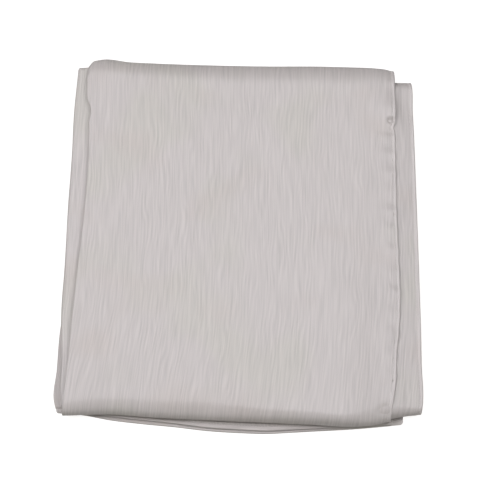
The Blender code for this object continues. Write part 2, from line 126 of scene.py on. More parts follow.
# %% Edges of the packet along its length
# Columns: y, folded left edge, right hem edge of the upper ply
UPPER_EDGES = [
    (-0.232, -0.1890, 0.1660),
    (-0.205, -0.1880, 0.1712),
    (-0.180, -0.1868, 0.1748),
    (-0.145, -0.1858, 0.1762),
    (-0.110, -0.1855, 0.1795),
    (-0.070, -0.1846, 0.1812),
    (-0.015, -0.1828, 0.1797),
    (0.050, -0.1812, 0.1782),
    (0.110, -0.1822, 0.1777),
    (0.136, -0.1838, 0.1772),
    (0.144, -0.1842, 0.1770),
    (0.149, -0.1845, 0.1757),
    (0.154, -0.1842, 0.1770),
    (0.162, -0.1834, 0.1774),
    (0.182, -0.1888, 0.1778),
    (0.205, -0.1908, 0.1778),
    (0.236, -0.1922, 0.1774),
]

# Columns: y, right edge of the wider ply under it
STRIP_EDGE = [
    (-0.216, 0.2024),
    (-0.205, 0.2041),
    (-0.150, 0.2040),
    (-0.130, 0.2041),
    (-0.040, 0.2033),
    (0.040, 0.2021),
    (0.125, 0.2006),
    (0.180, 0.1996),
    (0.205, 0.1997),
    (0.222, 0.1980),
]

# Columns: y, folded left edge of the second and third lengths, and of the fourth
INNER_EDGES = [
    (-0.236, -0.1850, -0.1890),
    (-0.216, -0.1895, -0.1955),
    (-0.205, -0.1915, -0.1992),
    (-0.165, -0.1940, -0.1994),
    (-0.120, -0.1974, -0.1996),
    (-0.090, -0.1990, -0.1978),
    (-0.050, -0.1993, -0.1962),
    (0.040, -0.2016, -0.1970),
    (0.110, -0.2024, -0.1982),
    (0.165, -0.2041, -0.1996),
    (0.218, -0.2036, -0.2005),
    (0.232, -0.2034, -0.2005),
]
print(len(UPPER_EDGES), "places along the edges of the upper ply")

# %% Folds, free ends and heights
# Folds of the upper ply. Columns: x, tip of the near fold, its reach, tip of the far fold, its reach
UPPER_TIPS = [
    (-0.1920, -0.2220, 0.0145, 0.2306, 0.0235),
    (-0.1865, -0.2220, 0.0145, 0.2392, 0.0255),
    (-0.1800, -0.2218, 0.0155, 0.2416, 0.0270),
    (-0.1400, -0.2197, 0.0182, 0.2392, 0.0280),
    (-0.0920, -0.2220, 0.0188, 0.2379, 0.0300),
    (-0.0370, -0.2235, 0.0204, 0.2375, 0.0320),
    (0.0280, -0.2247, 0.0140, 0.2380, 0.0330),
    (0.0800, -0.2256, 0.0112, 0.2394, 0.0335),
    (0.1260, -0.2266, 0.0118, 0.2396, 0.0335),
    (0.1530, -0.2236, 0.0230, 0.2392, 0.0310),
    (0.1660, -0.2199, 0.0218, 0.2382, 0.0285),
    (0.1780, -0.2147, 0.0126, 0.2350, 0.0265),
]

# Folds of the wider ply, which draw in where it shows as a strip. The same columns
STRIP_TIPS = UPPER_TIPS[:9] + [
    (0.1500, -0.2237, 0.0188, 0.2368, 0.0300),
    (0.1630, -0.2193, 0.0150, 0.2256, 0.0240),
    (0.1730, -0.2162, 0.0120, 0.2206, 0.0185),
    (0.1900, -0.2122, 0.0096, 0.2216, 0.0165),
    (0.1980, -0.2108, 0.0084, 0.2218, 0.0155),
    (0.2030, -0.2093, 0.0084, 0.2204, 0.0150),
    (0.2060, -0.2061, 0.0084, 0.2170, 0.0150),
]

# Columns: x, end of the third length, end of the fourth
FREE_ENDS = [
    (-0.200, -0.2144, -0.2160),
    (-0.165, -0.2159, -0.2183),
    (-0.136, -0.2199, -0.2231),
    (-0.100, -0.2234, -0.2266),
    (-0.065, -0.2264, -0.2292),
    (-0.030, -0.2302, -0.2326),
    (0.005, -0.2316, -0.2340),
    (0.035, -0.2320, -0.2341),
    (0.062, -0.2300, -0.2320),
    (0.085, -0.2281, -0.2300),
    (0.126, -0.2254, -0.2265),
    (0.165, -0.2214, -0.2219),
    (0.190, -0.2196, -0.2187),
]

# Columns: y, height of the packet along its middle
HEIGHT_ALONG = [
    (-0.215, 0.0240),
    (-0.180, 0.0238),
    (-0.110, 0.0226),
    (-0.030, 0.0216),
    (0.060, 0.0211),
    (0.140, 0.0211),
    (0.215, 0.0212),
]

# Columns: x, how far the top falls away there
FALL_ACROSS = [
    (-0.206, 0.0052),
    (-0.188, 0.0032),
    (-0.165, 0.0014),
    (-0.120, 0.0004),
    (0.000, 0.0000),
    (0.120, 0.0003),
    (0.152, 0.0012),
    (0.174, 0.0034),
    (0.188, 0.0068),
    (0.206, 0.0108),
]

# Broad soft swells and dips of the top. Columns: x, y, half width, half length, rise
SWELLS = [
    (-0.110, 0.150, 0.060, 0.050, 0.0006),
    (0.020, 0.080, 0.050, 0.090, -0.0005),
    (0.095, -0.020, 0.045, 0.110, 0.0006),
    (-0.070, -0.090, 0.055, 0.070, -0.0005),
    (0.030, -0.150, 0.070, 0.040, 0.0005),
]
print(f"the packet is up to {1000 * max(height for _, height in HEIGHT_ALONG):.0f} mm high")

# %% Smooth curves through the tables
def curve(rows, column):
    """A smooth curve through one column of a table, for one place or an array of them."""
    places = np.array([row[0] for row in rows])
    values = np.array([row[column] for row in rows])
    slopes = np.gradient(values, places)

    def at(place):
        place = np.clip(place, places[0], places[-1])
        low = np.clip(np.searchsorted(places, place, side="right") - 1, 0, len(places) - 2)
        width = places[low + 1] - places[low]
        t = (place - places[low]) / width
        start = (1 + 2 * t) * (1 - t) ** 2 * values[low] + t * (1 - t) ** 2 * width * slopes[low]
        end = t * t * (3 - 2 * t) * values[low + 1] + t * t * (t - 1) * width * slopes[low + 1]
        return start + end

    return at


left_fold = curve(UPPER_EDGES, 1)
upper_hem_edge = curve(UPPER_EDGES, 2)
strip_edge = curve(STRIP_EDGE, 1)
second_edge = curve(INNER_EDGES, 1)
lower_edge = curve(INNER_EDGES, 2)
third_end = curve(FREE_ENDS, 1)
fourth_end = curve(FREE_ENDS, 2)
height_along = curve(HEIGHT_ALONG, 1)
fall_across = curve(FALL_ACROSS, 1)
print(f"the upper ply is {1000 * (upper_hem_edge(0.0) - left_fold(0.0)):.0f} mm wide at its middle")


def blend(a, b, t):
    return a + (b - a) * t


def ease(t):
    t = np.clip(t, 0, 1)
    return t * t * (3 - 2 * t)


def hump(distance, reach):
    """1 at the middle, falling smoothly to 0 at its reach."""
    return ease(1 - np.abs(distance) / reach)

# %% [markdown]
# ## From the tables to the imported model
#
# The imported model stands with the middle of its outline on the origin, and the tables keep the places that
# were measured. Two edges that both know, the leftmost and the farthest, give the shift between them.

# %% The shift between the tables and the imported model
PACKED_LEFT = -0.20478
PACKED_FAR = 0.23915
SHIFT = np.array((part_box("middle_lengths")[0].x - PACKED_LEFT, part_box("top_ply")[1].y - PACKED_FAR, 0.0))
print("shift from the tables to the model, mm:", (SHIFT * 1000).round(2))

# %% [markdown]
# ## A map of the packet's outer face
#
# A ply that goes over the top and round both folds is one long sheet. On the map, `x` runs across it and
# `v` along it: 0 to 1 is under the near fold, 1 to 2 round it, 2 to 3 the top, 3 to 4 round the far fold
# and 4 to 5 under that. One map serves the upper ply, its hem, the wider ply and its hem, so they lie on
# each other without fitting.

# %% The map
STEP = 1e-4

# A fold sags on what it rests on, so it reaches furthest low down and is flat underneath. The near fold is
# fuller than an ellipse, since it stands on two more lengths
NEAR_TIP_HEIGHT = 0.20
FAR_TIP_HEIGHT = 0.24
FLAT_UNDER = 0.6
NEAR_FULLNESS = 0.8


def xyz(x, y, z):
    return np.stack(np.broadcast_arrays(x, y, z), axis=-1)


def stack_height(x, y):
    """Height of the packet's upper face."""
    swell = sum(
        rise * hump(x - at_x, half_width) * hump(y - at_y, half_length)
        for at_x, at_y, half_width, half_length, rise in SWELLS
    )
    return height_along(y) - fall_across(x) + swell


def hidden_height(x, y):
    """Height of what lies under the upper two plies."""
    slope = (stack_height(x + STEP, y) - stack_height(x - STEP, y)) / (2 * STEP)
    return stack_height(x, y) - STACK_CLEARANCE * np.sqrt(1 + slope * slope)


def pressed(y):
    """Share of their height that the third and fourth lengths keep, pressed flat under the near fold."""
    return blend(PRESSED_SHARE, 1, ease((y - PRESSED_UP_TO) / PRESSED_FADE))


def unit(vectors):
    return vectors / np.linalg.norm(vectors, axis=-1, keepdims=True)


def distances_along(line):
    """How far each point of a line is from its first, along it."""
    steps = np.linalg.norm(np.diff(line, axis=0), axis=-1)
    return np.concatenate([[0], np.cumsum(steps)])


def over_top(v, start):
    """1 over the top of the packet, falling to 0 at v = start and as far before the map's other end."""
    return ease(2 * np.minimum(v - start, 5 - start - v))


def fold_profile(t, tip, fullness=1.0):
    """Shares of a fold's reach and height, from its top to its bottom. It reaches furthest at the tip."""
    reach, turn = np.sin(pi * t), np.cos(pi * t)
    upper = turn > 0
    height = np.where(upper, tip + (1 - tip) * np.abs(turn) ** fullness, tip * (1 + turn))
    return np.where(upper, reach**fullness, reach**FLAT_UNDER), height

# %% The face that a ply lies on
class Face:
    """The outer face of a ply that goes over the top and round both folds."""

    def __init__(self, tips):
        columns = [curve(tips, column) for column in range(1, 5)]
        self.near_tip, self.near_reach, self.far_tip, self.far_reach = columns

    def near_centre(self, x):
        return self.near_tip(x) + self.near_reach(x)

    def far_centre(self, x):
        return self.far_tip(x) - self.far_reach(x)

    def place(self, x, v):
        """Points of the face. The near fold rests on the third length, the far fold on the surface."""
        x, v = np.broadcast_arrays(x, v)
        stretch = np.clip(np.floor(v), 0, 4)
        t = v - stretch
        near, far = self.near_centre(x), self.far_centre(x)
        bottom = MIDDLE_TOP * pressed(near) * hidden_height(x, near) + SEAM_GAP
        near_out, near_up = fold_profile(1 - np.clip(v - 1, 0, 1), NEAR_TIP_HEIGHT, NEAR_FULLNESS)
        far_out, far_up = fold_profile(np.clip(v - 3, 0, 1), FAR_TIP_HEIGHT)
        top_y = blend(near, far, t)
        parts = [stretch == part for part in range(5)]
        y = [
            near + TUCK * (1 - t),
            near - self.near_reach(x) * near_out,
            top_y,
            far + self.far_reach(x) * far_out,
            far - TUCK * t,
        ]
        z = [
            bottom,
            blend(bottom, stack_height(x, near), near_up),
            stack_height(x, top_y),
            stack_height(x, far) * far_up,
            0 * x,
        ]
        return xyz(x, np.select(parts, y), np.select(parts, z))

    def directions(self, x, v):
        """Unit directions across the face and out of it."""
        across = self.place(x + STEP, v) - self.place(x - STEP, v)
        along = self.place(x, v + STEP) - self.place(x, v - STEP)
        return unit(across), unit(np.cross(across, along))

    def side_at(self, side, v):
        """x where a line along the packet, given as x for each y, passes v."""
        return side(self.place(side(0.0), v)[..., 1])

    def on(self, side, v, lift=0.0):
        """Points of such a line, moved out of the face by a lift."""
        x = self.side_at(side, v)
        return self.place(x, v) + np.asarray(lift)[..., None] * self.directions(x, v)[1]


upper_face = Face(UPPER_TIPS)
strip_face = Face(STRIP_TIPS)


def between(left_side, right_side, share):
    return lambda y: blend(left_side(y), right_side(y), share)


def beside(side, distance):
    return lambda y: side(y) + distance

# %% Rows round the packet
# Columns: v, rows from there to the next. They are closer together in the folds and at the deep pucker
ROW_STOPS = [(0, 3), (1, 24), (2, 80), (2.82, 24), (2.93, 6), (3, 24), (4, 3), (5, 0)]


def rows_round_packet(times):
    """Values of v from under the near fold to under the far fold."""
    rows = [
        np.linspace(here, there, times * count, endpoint=False)
        for (here, count), (there, _) in zip(ROW_STOPS, ROW_STOPS[1:])
    ]
    return np.concatenate(rows + [[5]])


ROWS = rows_round_packet(1)
ALONG = distances_along(upper_face.place(0 * ROWS, ROWS))
print(f"the upper ply runs {ALONG[-1] * 1000:.0f} mm round the packet")

# %% [markdown]
# ## Crinkle
#
# Crinkle satin is pressed while it is twisted, which leaves fine creases along the cloth, 2 to 5 mm apart
# and a few centimetres long, with smoother patches between them. A grid of random heights, stretched
# along the cloth, makes such streaks. Each column of the grid starts at its own place, so the streaks do
# not end in rows. The photo's creases lean near both folds, so the grid is sheared there. The mesh carries
# two sets of shallow streaks, and the material adds finer ones.

# %% Streaks of random height
LATTICE = 512


def streaks(across, along, width, length, seed):
    """Random heights from -1 to 1, in streaks of a width across the cloth and a length along it."""
    random = np.random.default_rng(seed)
    heights = random.uniform(-1, 1, (LATTICE, LATTICE))
    starts = random.uniform(0, LATTICE, LATTICE)
    place = across / width
    column = np.floor(place).astype(int)

    def down(column):
        row_place = along / length + starts[column % LATTICE]
        row = np.floor(row_place).astype(int)
        return blend(
            heights[column % LATTICE, row % LATTICE],
            heights[column % LATTICE, (row + 1) % LATTICE],
            ease(row_place - row),
        )

    return blend(down(column), down(column + 1), ease(place - column))


def ripple(along, length, seed):
    """Random heights from -1 to 1 along one line."""
    return streaks(0 * along, along, 1, length, seed)

# %% Lean of the streaks, and the crinkle
# How far the streaks have moved across. Columns: along, shift on the left, shift on the right
LEAN = [
    (0.00, 0.0138, 0.0160),
    (0.05, 0.0092, 0.0105),
    (0.09, 0.0056, 0.0062),
    (0.15, 0.0015, 0.0012),
    (0.20, 0.0000, 0.0000),
    (0.30, 0.0018, 0.0004),
    (0.39, 0.0056, 0.0008),
    (0.48, 0.0105, 0.0000),
]
lean_left = curve(LEAN, 1)
lean_right = curve(LEAN, 2)
LEAN_WIDTH = 0.36

# They also wander: by how much, over what width and length
WANDER = 0.0012
WANDER_SIZE = (0.060, 0.070)


def sheared(across, along):
    """Place across the streaks: they lean to the left at both folds and stand straight between."""
    wander = WANDER * streaks(across, along, *WANDER_SIZE, 2)
    return across + blend(lean_left(along), lean_right(along), ease(across / LEAN_WIDTH + 0.5)) + wander


# Columns: height, width, length, seed
CRINKLE_STREAKS = [(0.00005, 0.0054, 0.060, 4), (0.00006, 0.0023, 0.040, 5)]

# Smoother patches: how much they take away, and their width and length
PATCH_SHARE = 0.38
PATCH_SIZE = (0.030, 0.055)


def crinkle(leaning, along):
    """Height of the crinkle that the mesh carries."""
    patches = 1 - PATCH_SHARE + PATCH_SHARE * streaks(leaning, along, *PATCH_SIZE, 3)
    return patches * sum(height * streaks(leaning, along, *size) for height, *size in CRINKLE_STREAKS)

# %% [markdown]
# ## Creases and puckers
#
# The packet was folded by hand, so the top has a few soft dents. The hem's stitching takes up a little
# cloth, which draws the ply beside it into puckers. Most are shallow. Near the far end the hem stands off
# the strip far enough to shade it, and a deep dimple lies beside it.

# %% Dents of the top and puckers of the hem
# Columns: x, y, half width, half length, depth
DENTS = [
    (-0.088, 0.196, 0.010, 0.007, 0.00022),
    (-0.112, 0.181, 0.006, 0.006, 0.00016),
    (-0.081, 0.180, 0.007, 0.006, 0.00014),
    (-0.048, 0.176, 0.012, 0.008, 0.00016),
    (-0.004, 0.170, 0.007, 0.007, 0.00018),
    (0.014, 0.147, 0.006, 0.007, 0.00018),
    (0.038, 0.172, 0.012, 0.008, 0.00014),
    (0.083, 0.134, 0.012, 0.007, 0.00016),
    (0.102, 0.138, 0.008, 0.006, 0.00016),
    (0.131, 0.178, 0.007, 0.008, 0.00014),
    (-0.140, 0.162, 0.005, 0.010, 0.00014),
    (-0.118, 0.060, 0.006, 0.020, 0.00012),
    (0.060, 0.020, 0.008, 0.030, 0.00012),
    (-0.030, -0.040, 0.010, 0.025, 0.00012),
    (0.118, -0.110, 0.007, 0.030, 0.00014),
    (-0.090, -0.150, 0.009, 0.024, 0.00014),
    (0.052, -0.170, 0.012, 0.016, 0.00016),
    (0.005, -0.186, 0.014, 0.010, 0.00018),
]

# Columns: y, half length, lift
HEM_PUCKERS = [
    (-0.196, 0.009, 0.0006),
    (-0.171, 0.011, 0.0009),
    (-0.146, 0.008, 0.0006),
    (-0.121, 0.012, 0.0010),
    (-0.094, 0.009, 0.0007),
    (-0.067, 0.010, 0.0010),
    (-0.041, 0.008, 0.0005),
    (-0.014, 0.012, 0.0009),
    (0.013, 0.009, 0.0007),
    (0.037, 0.008, 0.0010),
    (0.062, 0.011, 0.0006),
    (0.088, 0.009, 0.0009),
    (0.112, 0.010, 0.0007),
    (0.135, 0.010, 0.0007),
    (0.174, 0.033, 0.0025),
]
PUCKER_FADE = 0.026
PUCKERS_FROM = 1.5

# Columns: y, distance in from the hem's edge, half length, half width, depth
HEM_DIMPLES = [
    (0.1590, 0.0060, 0.0048, 0.0055, 0.0036),
    (0.1495, 0.0025, 0.0030, 0.0045, 0.0010),
    (0.1230, 0.0110, 0.0050, 0.0060, 0.0005),
    (0.1050, 0.0100, 0.0060, 0.0050, 0.0003),
    (0.0780, 0.0120, 0.0050, 0.0060, 0.0003),
    (0.0500, 0.0090, 0.0060, 0.0050, 0.0003),
    (0.0240, 0.0110, 0.0050, 0.0060, 0.0003),
    (-0.0050, 0.0080, 0.0060, 0.0060, 0.0004),
    (-0.0280, 0.0110, 0.0060, 0.0050, 0.0003),
    (-0.0540, 0.0100, 0.0060, 0.0060, 0.0004),
    (-0.0820, 0.0120, 0.0060, 0.0060, 0.0004),
    (-0.1060, 0.0100, 0.0060, 0.0060, 0.0005),
    (-0.1330, 0.0090, 0.0060, 0.0050, 0.0004),
    (-0.1580, 0.0100, 0.0060, 0.0050, 0.0004),
    (-0.2115, 0.0085, 0.0080, 0.0115, 0.0022),
]

# Where the hem stands highest the strip beside it has sunk: y, half length, width of the slope, depth
SUNK_STRIP = (0.190, 0.045, 0.010, 0.0016)
print(len(DENTS), "dents,", len(HEM_PUCKERS), "puckers and", len(HEM_DIMPLES), "dimples beside the hem")

# %% How the dents and puckers move the cloth
def sunk(x, y):
    at_y, half_length, width, depth = SUNK_STRIP
    return depth * hump(y - at_y, half_length) * ease((x - upper_hem_edge(y)) / width)


def dents(x, y):
    return -sum(
        depth * hump(x - at_x, half_width) * hump(y - at_y, half_length)
        for at_x, at_y, half_width, half_length, depth in DENTS
    )


def puckers(x, y, v):
    """Lift of the cloth by the hem's puckers, fading into the panel and towards the folds."""
    inward = upper_hem_edge(y) - x
    fade = ease(1 - (inward - LONG_HEM_WIDTH) / PUCKER_FADE)
    raised = np.max([lift * hump(y - at_y, half) for at_y, half, lift in HEM_PUCKERS], axis=0)
    dimpled = sum(
        depth * hump(y - at_y, half_length) * hump(inward - at_inward, half_width)
        for at_y, at_inward, half_length, half_width, depth in HEM_DIMPLES
    )
    return over_top(v, PUCKERS_FROM) * (fade * raised - dimpled)

# %% [markdown]
# ## From a grid to a ply
#
# Each ply starts as Blender's own grid, whose points are then laid on the map, row by row and column by
# column. Its UV map keeps the flat cloth's own metres, so the crinkle in the material runs over the folds
# as it does on the real cloth. Solidify gives the sheet its thickness on the inner side.

# %% Laying a grid
UV_NAME = "cloth"


def grid_mesh(name, points, across, along):
    """A mesh from Blender's grid, laid on points[row, column], with the flat cloth's metres as its UVs."""
    rows, columns = points.shape[:2]
    mesh_data = bmesh.new()
    bmesh.ops.create_grid(mesh_data, x_segments=columns - 1, y_segments=rows - 1, size=0.5)
    mesh = bpy.data.meshes.new(name)
    mesh_data.to_mesh(mesh)
    mesh_data.free()
    flat = np.empty(len(mesh.vertices) * 3, np.float32)
    mesh.vertices.foreach_get("co", flat)
    flat = flat.reshape(-1, 3)
    column = np.rint((flat[:, 0] + 0.5) * (columns - 1)).astype(int)
    row = np.rint((flat[:, 1] + 0.5) * (rows - 1)).astype(int)
    places = points[row, column] + SHIFT
    mesh.vertices.foreach_set("co", places.astype(np.float32).ravel())
    corner = np.empty(len(mesh.loops), np.int32)
    mesh.loops.foreach_get("vertex_index", corner)
    across, along = np.broadcast_arrays(across, along)
    metres = np.stack([across[row, column], along[row, column]], axis=1)
    layer = mesh.uv_layers.new(name=UV_NAME)
    layer.data.foreach_set("uv", metres[corner].astype(np.float32).ravel())
    mesh.update()
    return mesh


def add_piece(name, mesh):
    mesh.shade_smooth()
    piece = bpy.data.objects.new(name, mesh)
    bpy.context.scene.collection.objects.link(piece)
    return piece


def close_up(mesh):
    """Joins a rolled grid's first column to its last, fills its ends and turns its faces out."""
    closed = bmesh.new()
    closed.from_mesh(mesh)
    bmesh.ops.remove_doubles(closed, verts=closed.verts, dist=1e-6)
    bmesh.ops.holes_fill(closed, edges=closed.edges, sides=0)
    bmesh.ops.recalc_face_normals(closed, faces=closed.faces)
    closed.to_mesh(mesh)
    closed.free()


def add_ply(name, points, across, along):
    """A ply of cloth whose outer face is the grid."""
    piece = add_piece(name, grid_mesh(name, points, across, along))
    wall = piece.modifiers.new("Cloth thickness", "SOLIDIFY")
    wall.thickness = CLOTH
    wall.offset = -1
    rows, columns = points.shape[:2]
    print(f"{name}: {rows} rows of {columns} points")
    return piece

# %% [markdown]
# ## The upper ply
#
# This is the face that everyone sees. It is folded under on its left side, where the fold catches the
# light, and it runs under its hem on the right, so that no gap shows beside the stitching.

# %% The upper ply
COLUMN_SPACING = 0.00135
CALM_EDGE = 0.004
DENTS_FROM = 1.6
DROP_UNDER_HEM = 0.0004
LEFT_TURNS = 8
upper_left = beside(left_fold, EDGE_RADIUS)
upper_right = beside(upper_hem_edge, -LONG_HEM_WIDTH + HEM_OVERLAP)


def rolled_left_edge(v):
    """Columns of the upper ply's left edge: a short return under it, then half a turn up to the top."""
    x = upper_face.side_at(upper_left, v)
    here = upper_face.place(x, v)
    across, out = upper_face.directions(x, v)
    columns = [here + across * inward - out * 2 * EDGE_RADIUS for inward in (EDGE_RETURN, EDGE_RETURN / 2)]
    for turn in pi * np.arange(LEFT_TURNS, 0, -1) / LEFT_TURNS:
        columns.append(here - across * EDGE_RADIUS * np.sin(turn) + out * EDGE_RADIUS * (np.cos(turn) - 1))
    return np.stack(columns, axis=1)


def make_upper_ply():
    count = round((EDGE_AT_RIGHT - EDGE_AT_LEFT) / COLUMN_SPACING)
    shares = np.linspace(0, 1, count)[None, :]
    v = ROWS[:, None]
    x = upper_face.side_at(between(upper_left, upper_right, shares), v)
    here = upper_face.place(x, v)
    y = here[..., 1]
    from_edge = ease((x - left_fold(y) - EDGE_RADIUS) / CALM_EDGE)
    under_hem = ease((upper_hem_edge(y) - LONG_HEM_WIDTH + HEM_OVERLAP - x) / HEM_OVERLAP)
    leaning = sheared(x, ALONG[:, None])
    lift = puckers(x, y, v) + over_top(v, DENTS_FROM) * dents(x, y)
    lift = lift + crinkle(leaning, ALONG[:, None]) * from_edge - (1 - under_hem) * DROP_UNDER_HEM
    panel = here + lift[..., None] * upper_face.directions(x, v)[1]
    edge = rolled_left_edge(ROWS)
    points = np.concatenate([edge, panel], axis=1)
    reach = np.linspace(-pi * EDGE_RADIUS - EDGE_RETURN, 0, edge.shape[1], endpoint=False)
    across = np.concatenate([leaning[:, :1] + reach[None, :], leaning], axis=1)
    return add_ply("upper_ply", points, across, ALONG[:, None])


upper_ply = make_upper_ply()

# %% [markdown]
# ## Hems
#
# A narrow hem is the cloth's edge turned twice and stitched down. From the face it is a flat bead 5 mm
# wide that stands a little proud. Its rounded outer edge catches the light as a pale line, and its
# stitches lie in a shallow groove. It is made as a closed band: a rounded outline is carried along two
# border lines, one at the cloth's edge and one where the hem ends on the panel.

# %% A closed band along two lines
BAND_SIDES = 32

# Powers that make its outline squarer than an ellipse, across and in height
SQUARE_ACROSS, SQUARE_UP = 0.5, 0.75

# Across a hem, as shares of its width from the cloth's edge: middle and reach of the bead and the groove
BEAD_AT, BEAD_REACH = 0.28, 0.28
GROOVE_AT, GROOVE_REACH = 0.74, 0.20
GROOVE_SHARE = 0.5


def rounded_outline(sides):
    """Points round a flat bead: share of the way in from its edge, and share of its half thickness."""
    turn = 2 * pi * np.arange(sides + 1) / sides
    inward = (1 - np.sign(np.cos(turn)) * np.abs(np.cos(turn)) ** SQUARE_ACROSS) / 2
    height = np.sign(np.sin(turn)) * np.abs(np.sin(turn)) ** SQUARE_UP
    return inward, height


def add_band(name, edge, inner, out, lift, across, along, bead=0.0, thickness=HEM_THICKNESS):
    """A closed band between two lines of points, whose upper face is lifted along the directions out."""
    inward, height = rounded_outline(BAND_SIDES)
    lift = np.broadcast_to(lift, edge.shape[:1])
    profile = hump(inward - BEAD_AT, BEAD_REACH) - GROOVE_SHARE * hump(inward - GROOVE_AT, GROOVE_REACH)
    level = lift[:, None] + thickness / 2 * (height - 1) + bead * profile * (height > 0)
    points = blend(edge[:, None], inner[:, None], inward[None, :, None]) + level[..., None] * out[:, None]
    mesh = grid_mesh(name, points, across[:, None] - inward[None, :] * LONG_HEM_WIDTH, along[:, None])
    close_up(mesh)
    print(f"{name}: a band of {len(points)} rings")
    return add_piece(name, mesh)

# %% The two long hems
HEM_ROWS = rows_round_packet(2)
HEM_ALONG = np.interp(HEM_ROWS, ROWS, ALONG)
HEM_BEAD = 0.0005
EDGE_LIFT = 0.0001

# The stitches' waves, which come unevenly and change in height
WAVE_LENGTH = 0.0062
WAVE_HEIGHT = 0.00012
UNEVEN_BY, UNEVEN_LENGTH = 2.5, 0.03
CHANGE_BY, CHANGE_LENGTH = 0.4, 0.02

# Under the upper hem the strip lies snug: from how far inside the hem's edge, and by how much it rises
STRIP_FROM = 0.014
STRIP_SNUG = 0.00045


def take_up(along, seed):
    """The small waves that a line of stitches leaves in a hem."""
    waves = np.sin(2 * pi * along / WAVE_LENGTH + UNEVEN_BY * ripple(along, UNEVEN_LENGTH, seed))
    return WAVE_HEIGHT * waves * (1 - CHANGE_BY + CHANGE_BY * ripple(along, CHANGE_LENGTH, seed + 1))


def hem_lift(v, along, seed):
    """Lift of a long hem above its ply: its rise, which ends under the folds, and the stitches' waves."""
    return HEM_RISE * over_top(v, 1) + take_up(along, seed)


def make_long_hem(name, face, edge_side, lift, seed):
    v = HEM_ROWS
    x = face.side_at(edge_side, v)
    out = face.directions(x, v)[1]
    y = face.place(x, v)[:, 1]
    edge = face.on(edge_side, v, lift(x, y, v) + EDGE_LIFT)
    inner = face.on(beside(edge_side, -LONG_HEM_WIDTH), v, lift(x - LONG_HEM_WIDTH, y, v))
    raised = hem_lift(v, HEM_ALONG, seed)
    return add_band(name, edge, inner, out, raised, x, HEM_ALONG, bead=HEM_BEAD)


def strip_lift(x, y, v):
    """The wider ply lies a ply's pitch lower, and snug under the upper hem, whatever v is."""
    snug = ease((x - upper_hem_edge(y) + STRIP_FROM) / STRIP_FROM)
    return STRIP_SNUG * snug - PLY_PITCH - sunk(x, y)


upper_hem = make_long_hem("upper_hem", upper_face, upper_hem_edge, puckers, 21)
wide_hem = make_long_hem("wide_hem", strip_face, strip_edge, strip_lift, 24)

# %% [markdown]
# ## The wider ply
#
# Folded lengthwise a little off the middle, the cloth has one ply that is wider than the other. Its right
# side shows as a strip. The rest is hidden, so its columns are close together only under and beside the
# upper hem.

# %% The wider ply
HIDDEN_COLUMNS = 14
STRIP_COLUMNS = 36
STRIP_FADE = 0.008
OTHER_PART = 0.5


def make_wide_ply():
    start = beside(upper_left, EDGE_RETURN + UNDER_START_GAP)
    shows_from = beside(upper_hem_edge, -STRIP_FROM)
    strip_inner = beside(strip_edge, -LONG_HEM_WIDTH + HEM_OVERLAP)
    v = ROWS[:, None]
    hidden_shares = np.linspace(0, 1, HIDDEN_COLUMNS)[None, :-1]
    strip_shares = np.linspace(0, 1, STRIP_COLUMNS)[None, :]
    hidden = strip_face.side_at(between(start, shows_from, hidden_shares), v)
    strip = strip_face.side_at(between(shows_from, strip_inner, strip_shares), v)
    x = np.concatenate([hidden, strip], axis=1)
    here = strip_face.place(x, v)
    y = here[..., 1]
    shows = ease((x - upper_hem_edge(y) + STRIP_FROM) / STRIP_FADE)
    tucked = ease((x - strip_edge(y) + LONG_HEM_WIDTH) / HEM_OVERLAP)
    leaning = sheared(x, ALONG[:, None]) + OTHER_PART
    lift = shows * crinkle(leaning, ALONG[:, None]) + strip_lift(x, y, v) - tucked * DROP_UNDER_HEM
    points = here + lift[..., None] * strip_face.directions(x, v)[1]
    return add_ply("wide_ply", points, leaning, ALONG[:, None])


wide_ply = make_wide_ply()

# %% [markdown]
# ## The folded lengths below
#
# The second and third lengths are one stretch of cloth that turns back under the far fold, and the fourth
# lies on the surface. Each is folded on its left side, so it is a wall that goes in at the top, round the
# folded edge and back in below. At the near side the third and the fourth end free, across the whole
# width.

# %% Walls folded on their left side
UNDER_SHARES = np.linspace(0, 1, 16)
OVER_SHARES = np.concatenate([np.linspace(0, 0.12, 14), np.linspace(0.12, 1, 46)[1:]])
EDGE_TURNS = 10


def round_the_edge(under, over, turns):
    """Columns from under a length round its folded edge and over it: shares of its width, and turns."""
    turn = pi * (np.arange(turns + 1) / turns - 0.5)
    share = np.concatenate([under[:0:-1], 0 * turn, over[1:]])
    turn = np.concatenate([0 * under[1:] - pi / 2, turn, 0 * over[1:] + pi / 2])
    return share[None, :], turn[None, :]


WALL_SHARE, WALL_TURN = round_the_edge(UNDER_SHARES, OVER_SHARES, EDGE_TURNS)


def wall_end(from_end, from_far, whole_end):
    """How far right a folded wall runs: whole at its free end, then only behind its folded edge."""
    behind_end = blend(whole_end, SIDE_WALL_END, ease((from_end - END_DEPTH) / END_FADE))
    return blend(FAR_SIDE_WALL_END, behind_end, ease(from_far / FAR_SIDE_FADE))


def folded_x(share, turn, edge, right_end):
    return edge + SIDE_ROLL * (1 - np.cos(turn)) + share * (right_end - edge - SIDE_ROLL)


def lower_length_top(x, y):
    return LOWER_TOP * pressed(y) * hidden_height(x, y) - SEAM_GAP


def level(x, y, low_share, high_share):
    """Middle height and half height of a hidden length."""
    low = low_share * hidden_height(x, y)
    high = high_share * hidden_height(x, y) - SEAM_GAP
    return (low + high) / 2, (high - low) / 2


def lower_far_stop(x):
    return strip_face.far_centre(x) - TUCK - LOWER_FAR_GAP


def second_near_stop(x):
    return strip_face.near_centre(x) + TUCK + SEAM_GAP


def corner_cut(x, right_end):
    """How far a free end draws back at its rounded right corner."""
    over = np.clip(x - right_end + END_CORNER, 0, END_CORNER)
    return END_CORNER - np.sqrt(END_CORNER**2 - over**2)

